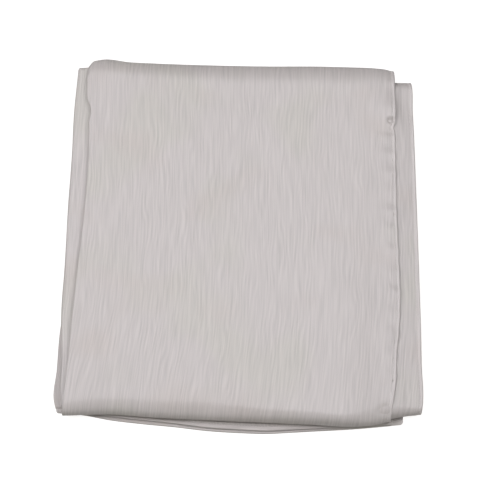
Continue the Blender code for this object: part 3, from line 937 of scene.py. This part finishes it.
# %% Places on each folded length
def on_lower_length(share, turn, depth, along):
    """Place on the fourth length, from its free end to the far fold."""
    edge = lower_edge(blend(fourth_end(EDGE_AT_LEFT) + depth, lower_far_stop(EDGE_AT_LEFT), along))
    right_end = np.where(turn > 0, WIDE_END_RIGHT, UPPER_END_RIGHT)
    x = folded_x(share, turn, edge, wall_end(depth + along, 1, right_end))
    y = blend(fourth_end(x) + depth + corner_cut(x, right_end), lower_far_stop(x), along)
    return xyz(x, y, lower_length_top(x, y) * (1 + np.sin(turn)) / 2)


def on_third_length(share, turn, depth, along):
    """Place on the third length, from its free end to the inner far fold."""
    rough = blend(third_end(EDGE_AT_LEFT) + depth, INNER_FOLD_Y, along)
    right_end = np.where(turn > 0, UPPER_END_RIGHT, WIDE_END_RIGHT)
    x = folded_x(share, turn, second_edge(rough), wall_end(depth + along, INNER_FOLD_Y - rough, right_end))
    y = blend(third_end(x) + depth + corner_cut(x, right_end), INNER_FOLD_Y, along)
    middle, half = level(x, y, LOWER_TOP * pressed(y), MIDDLE_TOP * pressed(y))
    return xyz(x, y, middle + np.sin(turn) * half)


def on_inner_fold(share, turn, along):
    """Place round the inner far fold, from the third length up to the second."""
    x = folded_x(share, turn, second_edge(INNER_FOLD_Y), FAR_SIDE_WALL_END)
    low, low_half = level(x, INNER_FOLD_Y, LOWER_TOP, MIDDLE_TOP)
    high, high_half = level(x, INNER_FOLD_Y, MIDDLE_TOP, SECOND_TOP)
    angle = pi * (along - 0.5)
    reach = (high - low) / 2 - np.sin(turn) * blend(low_half, high_half, along)
    return xyz(x, INNER_FOLD_Y + reach * np.cos(angle), (high + low) / 2 + reach * np.sin(angle))


def on_second_length(share, turn, along):
    """Place on the second length, from the inner far fold into the near fold and over what lies there."""
    rough = blend(INNER_FOLD_Y, strip_face.near_tip(EDGE_AT_LEFT) + INSIDE_NEAR_FOLD, along)
    x = folded_x(share, turn, second_edge(rough), wall_end(1, INNER_FOLD_Y - rough, 0))
    y = blend(INNER_FOLD_Y, strip_face.near_tip(x) + INSIDE_NEAR_FOLD, along)
    over_tuck = ease((second_near_stop(x) + TUCK_RAMP - y) / TUCK_RAMP)
    underside = blend(MIDDLE_TOP * pressed(y), TUCK_TOP, over_tuck)
    middle, half = level(x, y, underside, SECOND_TOP)
    return xyz(x, y, middle - np.sin(turn) * half)

# %% Crinkle on a folded wall
def out_of(points):
    """Unit directions out of a grid of points, by its own rows and columns."""
    return unit(np.cross(np.gradient(points, axis=1), np.gradient(points, axis=0)))


def flat_metres(points):
    """Distance across the cloth, from its first column, and along it, from its first row."""
    steps = np.linalg.norm(np.diff(points, axis=1), axis=-1)
    across = np.concatenate([np.zeros((len(points), 1)), np.cumsum(steps, axis=1)], axis=1)
    fold = int(np.argmin(np.abs(WALL_TURN[0])))
    return across - across[:, fold : fold + 1], distances_along(points[:, fold])[:, None]


# A folded wall's crinkle is stronger than the flat top's
WALL_RELIEF = 1.6


def add_folded_wall(name, points, seed):
    """A folded wall with the crinkle in its points."""
    across, along = flat_metres(points)
    lift = WALL_RELIEF * crinkle(across + seed, along + seed)
    return add_ply(name, points + lift[..., None] * out_of(points), across + seed, along + seed)

# %% The third length with the second, and the fourth
# Rows behind a free end, by their distance from it. The last three span where the wall narrows
END_DEPTHS = np.concatenate(
    [np.linspace(END_HEM_WIDTH - HEM_OVERLAP, END_DEPTH, 12), [0.041, 0.046, 0.051]]
)
LENGTH_ROWS = 105
FOLD_ROWS = 13


def from_free_end(place):
    """Rows of a length from its free end to the far side."""
    end = place(WALL_SHARE, WALL_TURN, END_DEPTHS[:, None], 0)
    rest = place(WALL_SHARE, WALL_TURN, END_DEPTHS[-1], np.linspace(0, 1, LENGTH_ROWS)[1:, None])
    return [end, rest]


inner_fold = on_inner_fold(WALL_SHARE, WALL_TURN, np.linspace(0, 1, FOLD_ROWS)[1:, None])
second_length = on_second_length(WALL_SHARE, WALL_TURN, np.linspace(0, 1, LENGTH_ROWS)[1:, None])
middle_points = np.concatenate(from_free_end(on_third_length) + [inner_fold, second_length])
middle_cloth = add_folded_wall("middle_lengths_cloth", middle_points, 1.0)
lower_cloth = add_folded_wall("lower_length_cloth", np.concatenate(from_free_end(on_lower_length)), 2.0)

# %% [markdown]
# ## The hemmed short ends
#
# The two short ends have the same turned hem, a little wider. Each runs across the upper ply of its
# length, round the left fold and back under, so it is one band along a folded line.

# %% The end hems
END_SHARES = np.concatenate([np.linspace(0, 0.985, 140), np.linspace(0.985, 1, 9)[1:]])
END_TURNS = 12
END_HEM_DROP = 0.0001
END_HEM_BEAD = 0.0002
END_HEM_THICKNESS = 0.0010
END_STITCH_SHARE = 0.75


def make_end_hem(name, place, seed):
    share, turn = round_the_edge(END_SHARES, END_SHARES, END_TURNS)
    lines = place(share, turn, np.array([0.0, END_HEM_WIDTH])[:, None], 0)
    edge, inner = lines[0], lines[1]
    out = unit(np.cross(np.gradient(edge, axis=0), inner - edge))
    along = distances_along(edge)
    lift = take_up(along, seed) - END_HEM_DROP
    sizes = {"bead": END_HEM_BEAD, "thickness": END_HEM_THICKNESS}
    band = add_band(name, edge, inner, out, lift, 0 * along + seed, along, **sizes)
    return band, (blend(edge, inner, END_STITCH_SHARE), out)


middle_hem, middle_stitch_line = make_end_hem("middle_end_hem_cloth", on_third_length, 31)
lower_hem, lower_stitch_line = make_end_hem("lower_end_hem_cloth", on_lower_length, 34)

# %% [markdown]
# ## The hidden lengths, seen from the right
#
# On the right the packet is open, and the edges of the hidden plies lie on each other: two of the second
# length, two of the third and two of the fourth. They are thin sheets with hems of their own. The pair of
# the second and third length turns back at the far side. Behind them one rounded solid stands for the
# rest, which no one sees.

# %% Open edges of the hidden plies
MARGIN_TO = 0.050
MARGIN_COLUMNS = 16
OPEN_ROWS = 110
OPEN_FROM, OPEN_TO = -0.205, 0.212
FOLD_BACK = 0.0040
FOLD_BACK_ROWS = 12
NEAR_FADE = 0.09
WAVES_FADE = 0.215
BEHIND_FOURTH_END = 0.012

# Soft waves of an open edge: up, finer and up, and in. Columns: height, length
OPEN_WAVES = [(0.0006, 0.045), (0.0003, 0.018), (0.0012, 0.080)]


def open_wave(y, seed):
    """How far an open edge waves up, and how far it wanders in and out."""
    up, finer_up, inward = (
        height * ripple(y, length, seed + turn) for turn, (height, length) in enumerate(OPEN_WAVES)
    )
    return up + finer_up, inward


def open_edge_points(near_stop, upper, lower, fold_reach, seed):
    """Rows of an open edge from the near side to the far side and, with a lower stretch, back again.
    upper and lower are a height share near the fold, the share beyond it, and a distance in."""
    shares = np.linspace(0, 1, MARGIN_COLUMNS)[None, :]
    t = np.linspace(0, 1, OPEN_ROWS)[:, None]

    def stretch(ends, t):
        near_share, share, inward = ends
        y_rough = blend(OPEN_FROM, OPEN_TO, t)
        wave, wander = open_wave(y_rough, seed + int(1000 * share))
        x = strip_edge(y_rough) - inward - np.abs(wander) - (MARGIN_TO - inward) * (1 - shares)
        y = blend(near_stop(x), strip_face.far_centre(x) - FOLD_BACK, t)
        height = blend(near_share, share, ease((y - near_stop(x)) / NEAR_FADE)) * hidden_height(x, y)
        fade = hump(y_rough, WAVES_FADE) * shares
        return xyz(x, y, height + wave * fade)

    rows = stretch(upper, t)
    if lower is None:
        return rows
    back = stretch(lower, t)[::-1]
    start, stop = rows[-1], back[0]
    turn = pi * np.linspace(0, 1, FOLD_BACK_ROWS)[1:-1, None]
    round_it = xyz(
        blend(start[:, 0], stop[:, 0], turn / pi),
        blend(start[:, 1], stop[:, 1], turn / pi) + fold_reach(start[:, 0]) * np.sin(turn),
        (start[:, 2] + stop[:, 2]) / 2 + (start[:, 2] - stop[:, 2]) / 2 * np.cos(turn),
    )
    return np.concatenate([rows, round_it, back])


def behind_fourth_end(x):
    return fourth_end(x) + BEHIND_FOURTH_END

# %% The four open edges
def wide_fold(x):
    return strip_face.far_reach(x) - 0.0028


def narrow_fold(x):
    return 0.45 * strip_face.far_reach(x)


# Columns: name, near stop, upper stretch, lower stretch, reach of the fold, seed
OPEN_EDGES = [
    ("second_wide_edge", second_near_stop, (0.62, 0.92, 0.0088), (0.17, 0.31, 0.0105), wide_fold, 41),
    ("second_narrow_edge", second_near_stop, (0.49, 0.70, 0.0275), (0.25, 0.47, 0.0140), narrow_fold, 44),
    ("fourth_wide_edge", behind_fourth_end, (0.11, 0.20, 0.0125), None, None, 47),
    ("fourth_narrow_edge", behind_fourth_end, (0.04, 0.08, 0.0270), None, None, 50),
]

# Their hems: how far one stands out past its sheet, its lift and its bead
OPEN_HEM_OUT = 0.0012
OPEN_HEM_LIFT = 0.0002
OPEN_HEM_BEAD = 0.0002


def make_open_edge(name, near_stop, upper, lower, fold_reach, seed):
    """One open edge: its sheet, and the hem along it."""
    points = open_edge_points(near_stop, upper, lower, fold_reach, seed)
    along = distances_along(points[:, -1])
    across = np.linspace(-(MARGIN_TO - upper[2]), 0, MARGIN_COLUMNS)[None, :] + seed
    out = out_of(points)
    sheet = add_ply(name, points, across, along[:, None])
    edge = points[:, -1] + OPEN_HEM_OUT * unit(points[:, -1] - points[:, -2])
    inner = edge - LONG_HEM_WIDTH * unit(points[:, -1] - points[:, -3])
    lift = OPEN_HEM_LIFT + take_up(along, seed)
    places = (0 * along + seed, along)
    hem = add_band(name + "_hem", edge, inner, out[:, -1], lift, *places, bead=OPEN_HEM_BEAD)
    return sheet, hem


open_edges = [make_open_edge(*row) for row in OPEN_EDGES]

# %% The solid behind them
CORE_LEFT = SIDE_WALL_END + 0.001
PACKET_RIGHT = 0.200
CORE_RIGHT_GAP = 0.004
CORE_RIGHT = PACKET_RIGHT - MARGIN_TO - CORE_RIGHT_GAP

# Columns: share of the hidden height, inset
CORE_RINGS = [
    (0.00, 0.004),
    (0.03, 0.000),
    (0.90, 0.000),
    (0.97, 0.003),
    (0.98, 0.016),
    (0.96, 0.050),
    (0.95, 0.110),
]
CORE_NEAR_GAP = 0.062
CORE_FAR_GAP = 0.009
LOOP_POINTS = 64
CORNER_POWER = 9


def make_core():
    """The hidden layers as one rounded solid, from rings that close over its top."""
    turn = 2 * pi * np.arange(LOOP_POINTS + 1) / LOOP_POINTS
    p, q = np.cos(turn), np.sin(turn)
    pull = (np.abs(p) ** CORNER_POWER + np.abs(q) ** CORNER_POWER) ** (1 / CORNER_POWER)
    p, q = (p / pull)[None, :], (q / pull)[None, :]
    share, inset = np.array(CORE_RINGS).T[:, :, None]
    x = blend(CORE_LEFT + inset, CORE_RIGHT - inset, (p + 1) / 2)
    near = np.maximum(third_end(x), fourth_end(x)) + CORE_NEAR_GAP
    y = blend(near + inset, strip_face.far_centre(x) - CORE_FAR_GAP - inset, (q + 1) / 2)
    points = xyz(x, y, share * hidden_height(x, y))
    mesh = grid_mesh("packet_core", points, x, y)
    close_up(mesh)
    return add_piece("packet_core", mesh)


core = make_core()
print("packet_core:", len(core.data.polygons), "faces")

# %% [markdown]
# ## Stitches
#
# The hems are sewn with a fine thread of the cloth's colour, about eight stitches in an inch. Each stitch
# is a short flattened bead that sinks into the hem at both ends. All stitches of one hem are one mesh.

# %% A line of stitches
# A long hem's stitches stop where it turns under the folds
HEM_STITCH_INWARD = 0.0036
SEWN_FROM, SEWN_TO = 1.2, 3.8
STITCH_PITCH = 0.0031
STITCH_LENGTH = 0.0024
STITCH_WIDTH = 0.0005
STITCH_HEIGHT = 0.00035


def add_stitches(name, line, out):
    """Short beads along a line of points, lying on the side that out points to."""
    along = distances_along(line)
    places = np.arange(STITCH_PITCH, along[-1] - STITCH_PITCH, STITCH_PITCH)
    sewn = bmesh.new()
    for place in places:
        at, ahead, up = (
            np.array([np.interp(spot, along, source[:, axis]) for axis in range(3)])
            for spot, source in ((place, line), (place + STITCH_LENGTH / 2, line), (place, out))
        )
        run = Vector(ahead - at).normalized()
        side = run.cross(Vector(up)).normalized()
        turned = Matrix((side, run, side.cross(run))).transposed().to_4x4()
        size = Matrix.Diagonal((STITCH_WIDTH, STITCH_LENGTH, STITCH_HEIGHT, 1))
        matrix = Matrix.Translation(Vector(at + SHIFT)) @ turned @ size
        bmesh.ops.create_uvsphere(sewn, u_segments=6, v_segments=5, radius=0.5, matrix=matrix)
    mesh = bpy.data.meshes.new(name)
    sewn.to_mesh(mesh)
    sewn.free()
    print(f"{name}: {len(places)} stitches")
    return add_piece(name, mesh)


sewn_rows = HEM_ROWS[(HEM_ROWS > SEWN_FROM) & (HEM_ROWS < SEWN_TO)]
sewn_along = np.interp(sewn_rows, ROWS, ALONG)


def long_stitch_line(face, edge_side, lift_at, seed):
    v = sewn_rows
    x = face.side_at(beside(edge_side, -HEM_STITCH_INWARD), v)
    here = face.place(x, v)
    out = face.directions(x, v)[1]
    lift = lift_at(x, here[:, 1], v) + hem_lift(v, sewn_along, seed) - GROOVE_SHARE * HEM_BEAD
    return here + lift[:, None] * out, out


upper_stitch_line = long_stitch_line(upper_face, upper_hem_edge, puckers, 21)
wide_stitch_line = long_stitch_line(strip_face, strip_edge, strip_lift, 24)
upper_stitches = add_stitches("upper_hem_stitches", *upper_stitch_line)
wide_stitches = add_stitches("wide_hem_stitches", *wide_stitch_line)
middle_stitches = add_stitches("middle_end_stitches", *middle_stitch_line)
lower_stitches = add_stitches("lower_end_stitches", *lower_stitch_line)

# %% [markdown]
# ## Materials
#
# Satin is woven so that most of the face is long floating threads, which lie side by side along the
# cloth. Each thread is a tiny cylinder, so a light's reflection spreads wide across the threads and stays
# narrow along them: the flat top glows, and both folds turn dark. That is a strong anisotropy, whose
# tangent is the cloth's own across direction, on a pale warm grey of mid roughness.
# Colours are hex values as a picture shows them, turned to linear by one function.

# %% Colours and nodes
def linear(hex_colour):
    """A colour as a picture shows it, as the linear values that a shader takes."""
    shown = [int(hex_colour[i : i + 2], 16) / 255 for i in (1, 3, 5)]
    return (*[c / 12.92 if c <= 0.04045 else ((c + 0.055) / 1.055) ** 2.4 for c in shown], 1.0)


def set_inputs(tree, node, inputs):
    """Sets each input of a node, or links it where it is given another node's output."""
    for socket, value in inputs.items():
        if isinstance(value, bpy.types.NodeSocket):
            tree.links.new(value, node.inputs[socket])
        else:
            node.inputs[socket].default_value = value


def add_node(tree, kind, inputs=(), output=0, **settings):
    """Adds a node with its settings and inputs, a list in order or a dictionary, and gives an output."""
    node = tree.nodes.new(kind)
    for name, value in settings.items():
        setattr(node, name, value)
    set_inputs(tree, node, inputs if isinstance(inputs, dict) else dict(enumerate(inputs)))
    return node.outputs[output]


def new_material(name):
    print("material:", name)
    material = bpy.data.materials.new(name)
    material.use_nodes = True
    return material, material.node_tree, material.node_tree.nodes["Principled BSDF"]

# %% [markdown]
# The crinkle in the material has three parts, as on the real cloth: creases about 4.6 mm apart that drift
# sideways and fade along the cloth, and two sets of streaks between them, 1 to 2 mm wide. All three tint
# the colour a little lighter and darker, by a few parts in a hundred, as painted shade and highlight along
# the crinkle, and all three are bump. A slow pattern of patches 70 to 90 mm across moves the colour between
# mauve grey, warm grey and a faint pink, as the photo shows.

# %% Patterns of the crinkle
# Creases: spacing in metres, how far noise shifts them in radians, and height beside the wide streaks'
CREASE_SPACING = 0.0046
CREASE_DRIFT = 14.0
CREASE_RELIEF = 0.25

# Heights of the wide and the fine streaks in metres
WIDE_RELIEF = 0.00018
FINE_RELIEF = 0.00013

# Rows: wide and fine streaks, drift and depth of the creases, warm and pink patches.
# Columns: cell across the cloth, cell along it, detail, seed
NOISES = [
    (0.0016, 0.050, 0.0, 3.1),
    (0.0012, 0.036, 0.0, 7.7),
    (0.010, 0.045, 0.0, 23.3),
    (0.028, 0.050, 0.0, 29.9),
    (0.080, 0.090, 1.0, 11.3),
    (0.090, 0.070, 1.0, 17.9),
]

# What each pattern turns into. Columns: its low value, its high value, the result at each
WARM_PATCHES = (0.50, 0.66, 0.0, 0.7)
PINK_PATCHES = (0.56, 0.72, 0.0, 0.6)
CREASE_DEPTH = (0.32, 0.62, 0.25, 1.0)
# The next three rows are painted shade and highlight along the crinkle's streaks and creases
WIDE_PAINTED_SHADING = (0.32, 0.62, 0.96, 1.025)
FINE_PAINTED_SHADING = (0.32, 0.62, 0.95, 1.035)
CREASE_PAINTED_SHADING = (-1.0, 1.0, 0.945, 1.045)
ROUGHNESS = (0.2, 0.8, 0.40, 0.50)

print(f"creases every {CREASE_SPACING * 1000:.1f} mm, with {len(NOISES)} patterns of noise")

# %% Crinkle satin
SATIN_SURFACE = {
    "IOR": 1.5,
    "Specular IOR Level": 0.6,
    "Anisotropic": 0.7,
    "Sheen Weight": 0.05,
    "Sheen Roughness": 0.4,
}


def crinkle_satin(name, base, warm, pink):
    """Woven polyester satin, pressed into a fine crinkle, in three close tints."""
    material, tree, shader = new_material(name)
    flat = add_node(tree, "ShaderNodeUVMap", uv_map=UV_NAME)
    noises = []
    for across, along, detail, seed in NOISES:
        cells = [flat, (1 / across, 1 / along, 0), (seed, seed, seed)]
        place = add_node(tree, "ShaderNodeVectorMath", cells, operation="MULTIPLY_ADD")
        texture = {"Vector": place, "Scale": 1.0, "Detail": detail, "Roughness": 0.5}
        noises.append(add_node(tree, "ShaderNodeTexNoise", texture, "Fac"))
    wide, fine, drift, depth, warms, pinks = noises

    tint = linear(base)
    for patches, span, colour in ((warms, WARM_PATCHES, warm), (pinks, PINK_PATCHES, pink)):
        share = add_node(tree, "ShaderNodeMapRange", [patches, *span])
        mixed = {0: share, 6: tint, 7: linear(colour)}
        tint = add_node(tree, "ShaderNodeMix", mixed, 2, data_type="RGBA")

    across = add_node(tree, "ShaderNodeSeparateXYZ", [flat], "X")
    turns = add_node(tree, "ShaderNodeMath", [across, 2 * pi / CREASE_SPACING], operation="MULTIPLY")
    turns = add_node(tree, "ShaderNodeMath", [drift, CREASE_DRIFT, turns], operation="MULTIPLY_ADD")
    waves = add_node(tree, "ShaderNodeMath", [turns], operation="SINE")
    depth = add_node(tree, "ShaderNodeMapRange", [depth, *CREASE_DEPTH])
    creases = add_node(tree, "ShaderNodeMath", [waves, depth], operation="MULTIPLY")

    # Painted shade and highlight: each streak and crease scales the colour a little darker or lighter
    for pattern, span in ((wide, WIDE_PAINTED_SHADING), (fine, FINE_PAINTED_SHADING), (creases, CREASE_PAINTED_SHADING)):
        painted_shading = add_node(tree, "ShaderNodeMapRange", [pattern, *span])
        tint = add_node(tree, "ShaderNodeVectorMath", {0: tint, "Scale": painted_shading}, operation="SCALE")

    relief = add_node(tree, "ShaderNodeMath", [creases, CREASE_RELIEF, wide], operation="MULTIPLY_ADD")
    low = {"Strength": 1.0, "Distance": WIDE_RELIEF, "Height": relief}
    low = add_node(tree, "ShaderNodeBump", low)
    high = {"Strength": 1.0, "Distance": FINE_RELIEF, "Height": fine, "Normal": low}
    surface = {
        "Base Color": tint,
        "Roughness": add_node(tree, "ShaderNodeMapRange", [wide, *ROUGHNESS]),
        "Tangent": add_node(tree, "ShaderNodeTangent", direction_type="UV_MAP", uv_map=UV_NAME),
        "Normal": add_node(tree, "ShaderNodeBump", high),
    }
    set_inputs(tree, shader, SATIN_SURFACE | surface)
    return material


# The panels and the folded edges are one cloth. A hem is three plies thick. The long hems' colour is
# painted a little paler, a painted highlight for the light that their raised bead catches. The inner plies'
# colour is painted a touch darker, painted shade for the shade that they lie in between other cloth
SATIN_TINTS = ("#B7B1AC", "#B4B0A7", "#B4ACA5")
face = crinkle_satin("Woven crinkle satin, face", *SATIN_TINTS)
# Painted highlight: the long hems' colour is a little paler than the face's
hem_painted_lighter = crinkle_satin("Turned satin hem", "#BCB6B1", "#B9B5AD", "#B9B1AB")
folded = crinkle_satin("Woven crinkle satin, folded edge", *SATIN_TINTS)
# Painted shade: the inner plies' colour is a touch darker than the face's
hidden = crinkle_satin("Woven crinkle satin, inner plies", "#B1ABA6", "#AEAAA2", "#AEA69F")

# %% [markdown]
# The sewing thread is spun polyester, a touch paler than the satin and more matt. Its twist is a fine
# stripe across each stitch, bumped, with each ridge painted lighter as a painted highlight.

# %% Sewing thread
def sewing_thread():
    material, tree, shader = new_material("Spun polyester sewing thread")
    place = add_node(tree, "ShaderNodeTexCoord", output="Object")
    stripes = {"Vector": place, "Scale": 900.0, "Distortion": 1.0}
    twist = add_node(tree, "ShaderNodeTexWave", stripes, "Fac", bands_direction="DIAGONAL")
    # Painted highlight: the twist's ridges take the paler colour
    mixed = {0: twist, 6: linear("#BDB8B3"), 7: linear("#D2CDC8")}
    colour = add_node(tree, "ShaderNodeMix", mixed, 2, data_type="RGBA")
    ridges = {"Strength": 0.6, "Distance": 0.0001, "Height": twist}
    normal = add_node(tree, "ShaderNodeBump", ridges)
    set_inputs(tree, shader, {"Base Color": colour, "Roughness": 0.7, "Normal": normal})
    return material


thread = sewing_thread()

# %% [markdown]
# ## What each piece stands for
#
# Every piece rides on the model's one body and stands for the solid whose place it takes.

# %% Ride and replace
# Columns: piece, solid that it stands for, material, record's slot
DRESSED = [
    (upper_ply, "top_ply", face, "satin_face"),
    (upper_hem, "top_ply_hem", hem_painted_lighter, "satin_long_hem"),
    (wide_ply, "under_ply", face, "satin_face"),
    (wide_hem, "under_ply_hem", hem_painted_lighter, "satin_long_hem"),
    (middle_cloth, "middle_lengths", folded, "satin_folded"),
    (middle_hem, "middle_end_hem", folded, "satin_end_hem"),
    (lower_cloth, "lower_length", folded, "satin_folded"),
    (lower_hem, "lower_end_hem", folded, "satin_end_hem"),
    (core, "inner_layers", hidden, "satin_hidden"),
    (upper_stitches, "top_ply_hem", thread, "satin_long_hem"),
    (wide_stitches, "under_ply_hem", thread, "satin_long_hem"),
    (middle_stitches, "middle_end_hem", thread, "satin_end_hem"),
    (lower_stitches, "lower_end_hem", thread, "satin_end_hem"),
]
DRESSED += [
    (piece, "inner_layers", material, "satin_hidden")
    for sheet_and_hem in open_edges
    for piece, material in zip(sheet_and_hem, (hidden, hem_painted_lighter))
]
for piece, node, material, slot in DRESSED:
    piece.data.materials.append(material)
    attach(piece, "root")
    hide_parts(node)
print(len(DRESSED), "pieces ride on the body")

# %% [markdown]
# ## A white sweep
#
# The photo shows the packet on pure white. The floor is a wide round sweep whose rim curves up, so it is
# white behind the packet from any side. It is made by spinning a short profile round the upright axis. It
# glows a little, as an overlit white floor does, and still takes a faint shadow where the cloth meets it.

# %% The floor
SWEEP_FLAT = 6.0
SWEEP_BEND = 1.0
SPIN_STEPS = 96
GLOW_NEAR = 0.91
GLOW_FAR = 0.95
GLOW_FROM, GLOW_TO = 0.4, 3.0
GLOW_COLOUR = (1.0, 0.99, 0.97, 1.0)


def make_floor():
    profile = bmesh.new()
    bend = pi / 2 * np.arange(1, 9) / 8
    places = [(0.0, 0.0), (0.5, 0.0), (2.0, 0.0), (SWEEP_FLAT, 0.0)]
    places += [(SWEEP_FLAT + SWEEP_BEND * np.sin(t), SWEEP_BEND * (1 - np.cos(t))) for t in bend]
    line = [profile.verts.new((radius, 0.0, height)) for radius, height in places]
    edges = [profile.edges.new(pair) for pair in zip(line, line[1:])]
    once = {"cent": (0, 0, 0), "axis": (0, 0, 1), "angle": 2 * pi, "steps": SPIN_STEPS, "use_merge": True}
    bmesh.ops.spin(profile, geom=line + edges, **once)
    bmesh.ops.remove_doubles(profile, verts=profile.verts, dist=1e-5)
    bmesh.ops.recalc_face_normals(profile, faces=profile.faces)
    mesh = bpy.data.meshes.new("floor")
    profile.to_mesh(mesh)
    profile.free()
    return add_piece("floor", mesh)


floor = make_floor()
material, tree, shader = new_material("Matt white sweep")
place = add_node(tree, "ShaderNodeTexCoord", output="Object")
level_place = add_node(tree, "ShaderNodeVectorMath", [place, (1, 1, 0)], operation="MULTIPLY")
radius = add_node(tree, "ShaderNodeVectorMath", [level_place], "Value", operation="LENGTH")
glow = add_node(tree, "ShaderNodeMapRange", [radius, GLOW_FROM, GLOW_TO, GLOW_NEAR, GLOW_FAR])
paint = {"Base Color": linear("#898989"), "Roughness": 0.9, "Specular IOR Level": 0.0}
set_inputs(tree, shader, paint | {"Emission Color": GLOW_COLOUR, "Emission Strength": glow})
floor.data.materials.append(material)
print(f"a floor {2 * (SWEEP_FLAT + SWEEP_BEND):.0f} m across")

# %% [markdown]
# ## Light
#
# The photo's folds tell how it was lit. The near and the far fold both darken as they turn down, while the
# left and right edges stay light, and the hem throws a soft shadow to its right. So two wide soft boxes
# stand at the sides, the left one stronger, and give matt light alone. A third hangs over the far side,
# where the flat satin mirrors it to the camera, and gives sheen alone. The floor's white is for the camera
# alone, so the shade in the folds stays as deep as in the photo.

# %% Soft boxes
SOFT_BOX_COLOUR = (0.985, 0.985, 1.055)


def add_soft_box(name, place, size, power, matt=True, sheen=True):
    light = bpy.data.lights.new(name, "AREA")
    light.shape = "RECTANGLE"
    light.size, light.size_y = size
    light.energy = power
    light.color = SOFT_BOX_COLOUR
    lamp = bpy.data.objects.new(name, light)
    lamp.location = place
    lamp.rotation_euler = Vector(place).to_track_quat("Z", "Y").to_euler()
    lamp.visible_diffuse = matt
    lamp.visible_glossy = sheen
    bpy.context.scene.collection.objects.link(lamp)
    print(f"{name}: {power} W")


add_soft_box("left soft box", (-4.0, 0.5, 5.2), (3.6, 3.0), 298, sheen=False)
add_soft_box("right soft box", (4.2, 0.5, 5.0), (3.6, 3.0), 168, sheen=False)
add_soft_box("sheen soft box", (0.2, 2.3, 4.43), (9.6, 2.6), 222, matt=False)
floor.visible_diffuse = False
floor.visible_glossy = False

# %% The room's own light
# It is stronger from the viewer's side, where the white table throws it back
FILL_BEHIND = 0.08
FILL_IN_FRONT = 0.54
FILL_COLOUR = (1.0, 0.99, 0.985, 1.0)
TO_VIEWER = (0.0, -0.95, -0.30)
world = bpy.data.worlds.new("Studio")
bpy.context.scene.world = world
world.use_nodes = True
tree = world.node_tree
direction = add_node(tree, "ShaderNodeTexCoord", output="Generated")
facing = add_node(tree, "ShaderNodeVectorMath", [direction, TO_VIEWER], "Value", operation="DOT_PRODUCT")
strength = add_node(tree, "ShaderNodeMapRange", [facing, -1.0, 1.0, FILL_BEHIND, FILL_IN_FRONT])
set_inputs(tree, tree.nodes["Background"], {"Color": FILL_COLOUR, "Strength": strength})
print(f"room's own light: {FILL_IN_FRONT} from the viewer's side, {FILL_BEHIND} from behind")
bpy.context.scene.view_settings.view_transform = "Standard"

# %% [markdown]
# ## Camera
#
# The packet's sides draw together towards the far end by 11 parts in 100, which a lens of 126 mm gives
# from 2 m away and 62.5 degrees above the surface.

# %% The camera
CAMERA_ELEVATION = np.radians(62.5)
CAMERA_AZIMUTH = np.radians(1.6)
CAMERA_DISTANCE = 1.994
CAMERA_LENS = 125.9
CAMERA_TARGET = Vector((0.0105, -0.0180, 0.0120))

camera_data = bpy.data.cameras.new("camera")
camera_data.lens = CAMERA_LENS
camera_data.sensor_width = 36.0
camera = bpy.data.objects.new("camera", camera_data)
level_share, height_share = np.cos(CAMERA_ELEVATION), np.sin(CAMERA_ELEVATION)
away = Vector((np.sin(CAMERA_AZIMUTH) * level_share, -np.cos(CAMERA_AZIMUTH) * level_share, height_share))
camera.location = CAMERA_TARGET + CAMERA_DISTANCE * away
camera.rotation_euler = away.to_track_quat("Z", "Y").to_euler()
bpy.context.scene.collection.objects.link(camera)
bpy.context.scene.camera = camera
print("camera at", camera.location[:], "with a lens of", CAMERA_LENS, "mm")
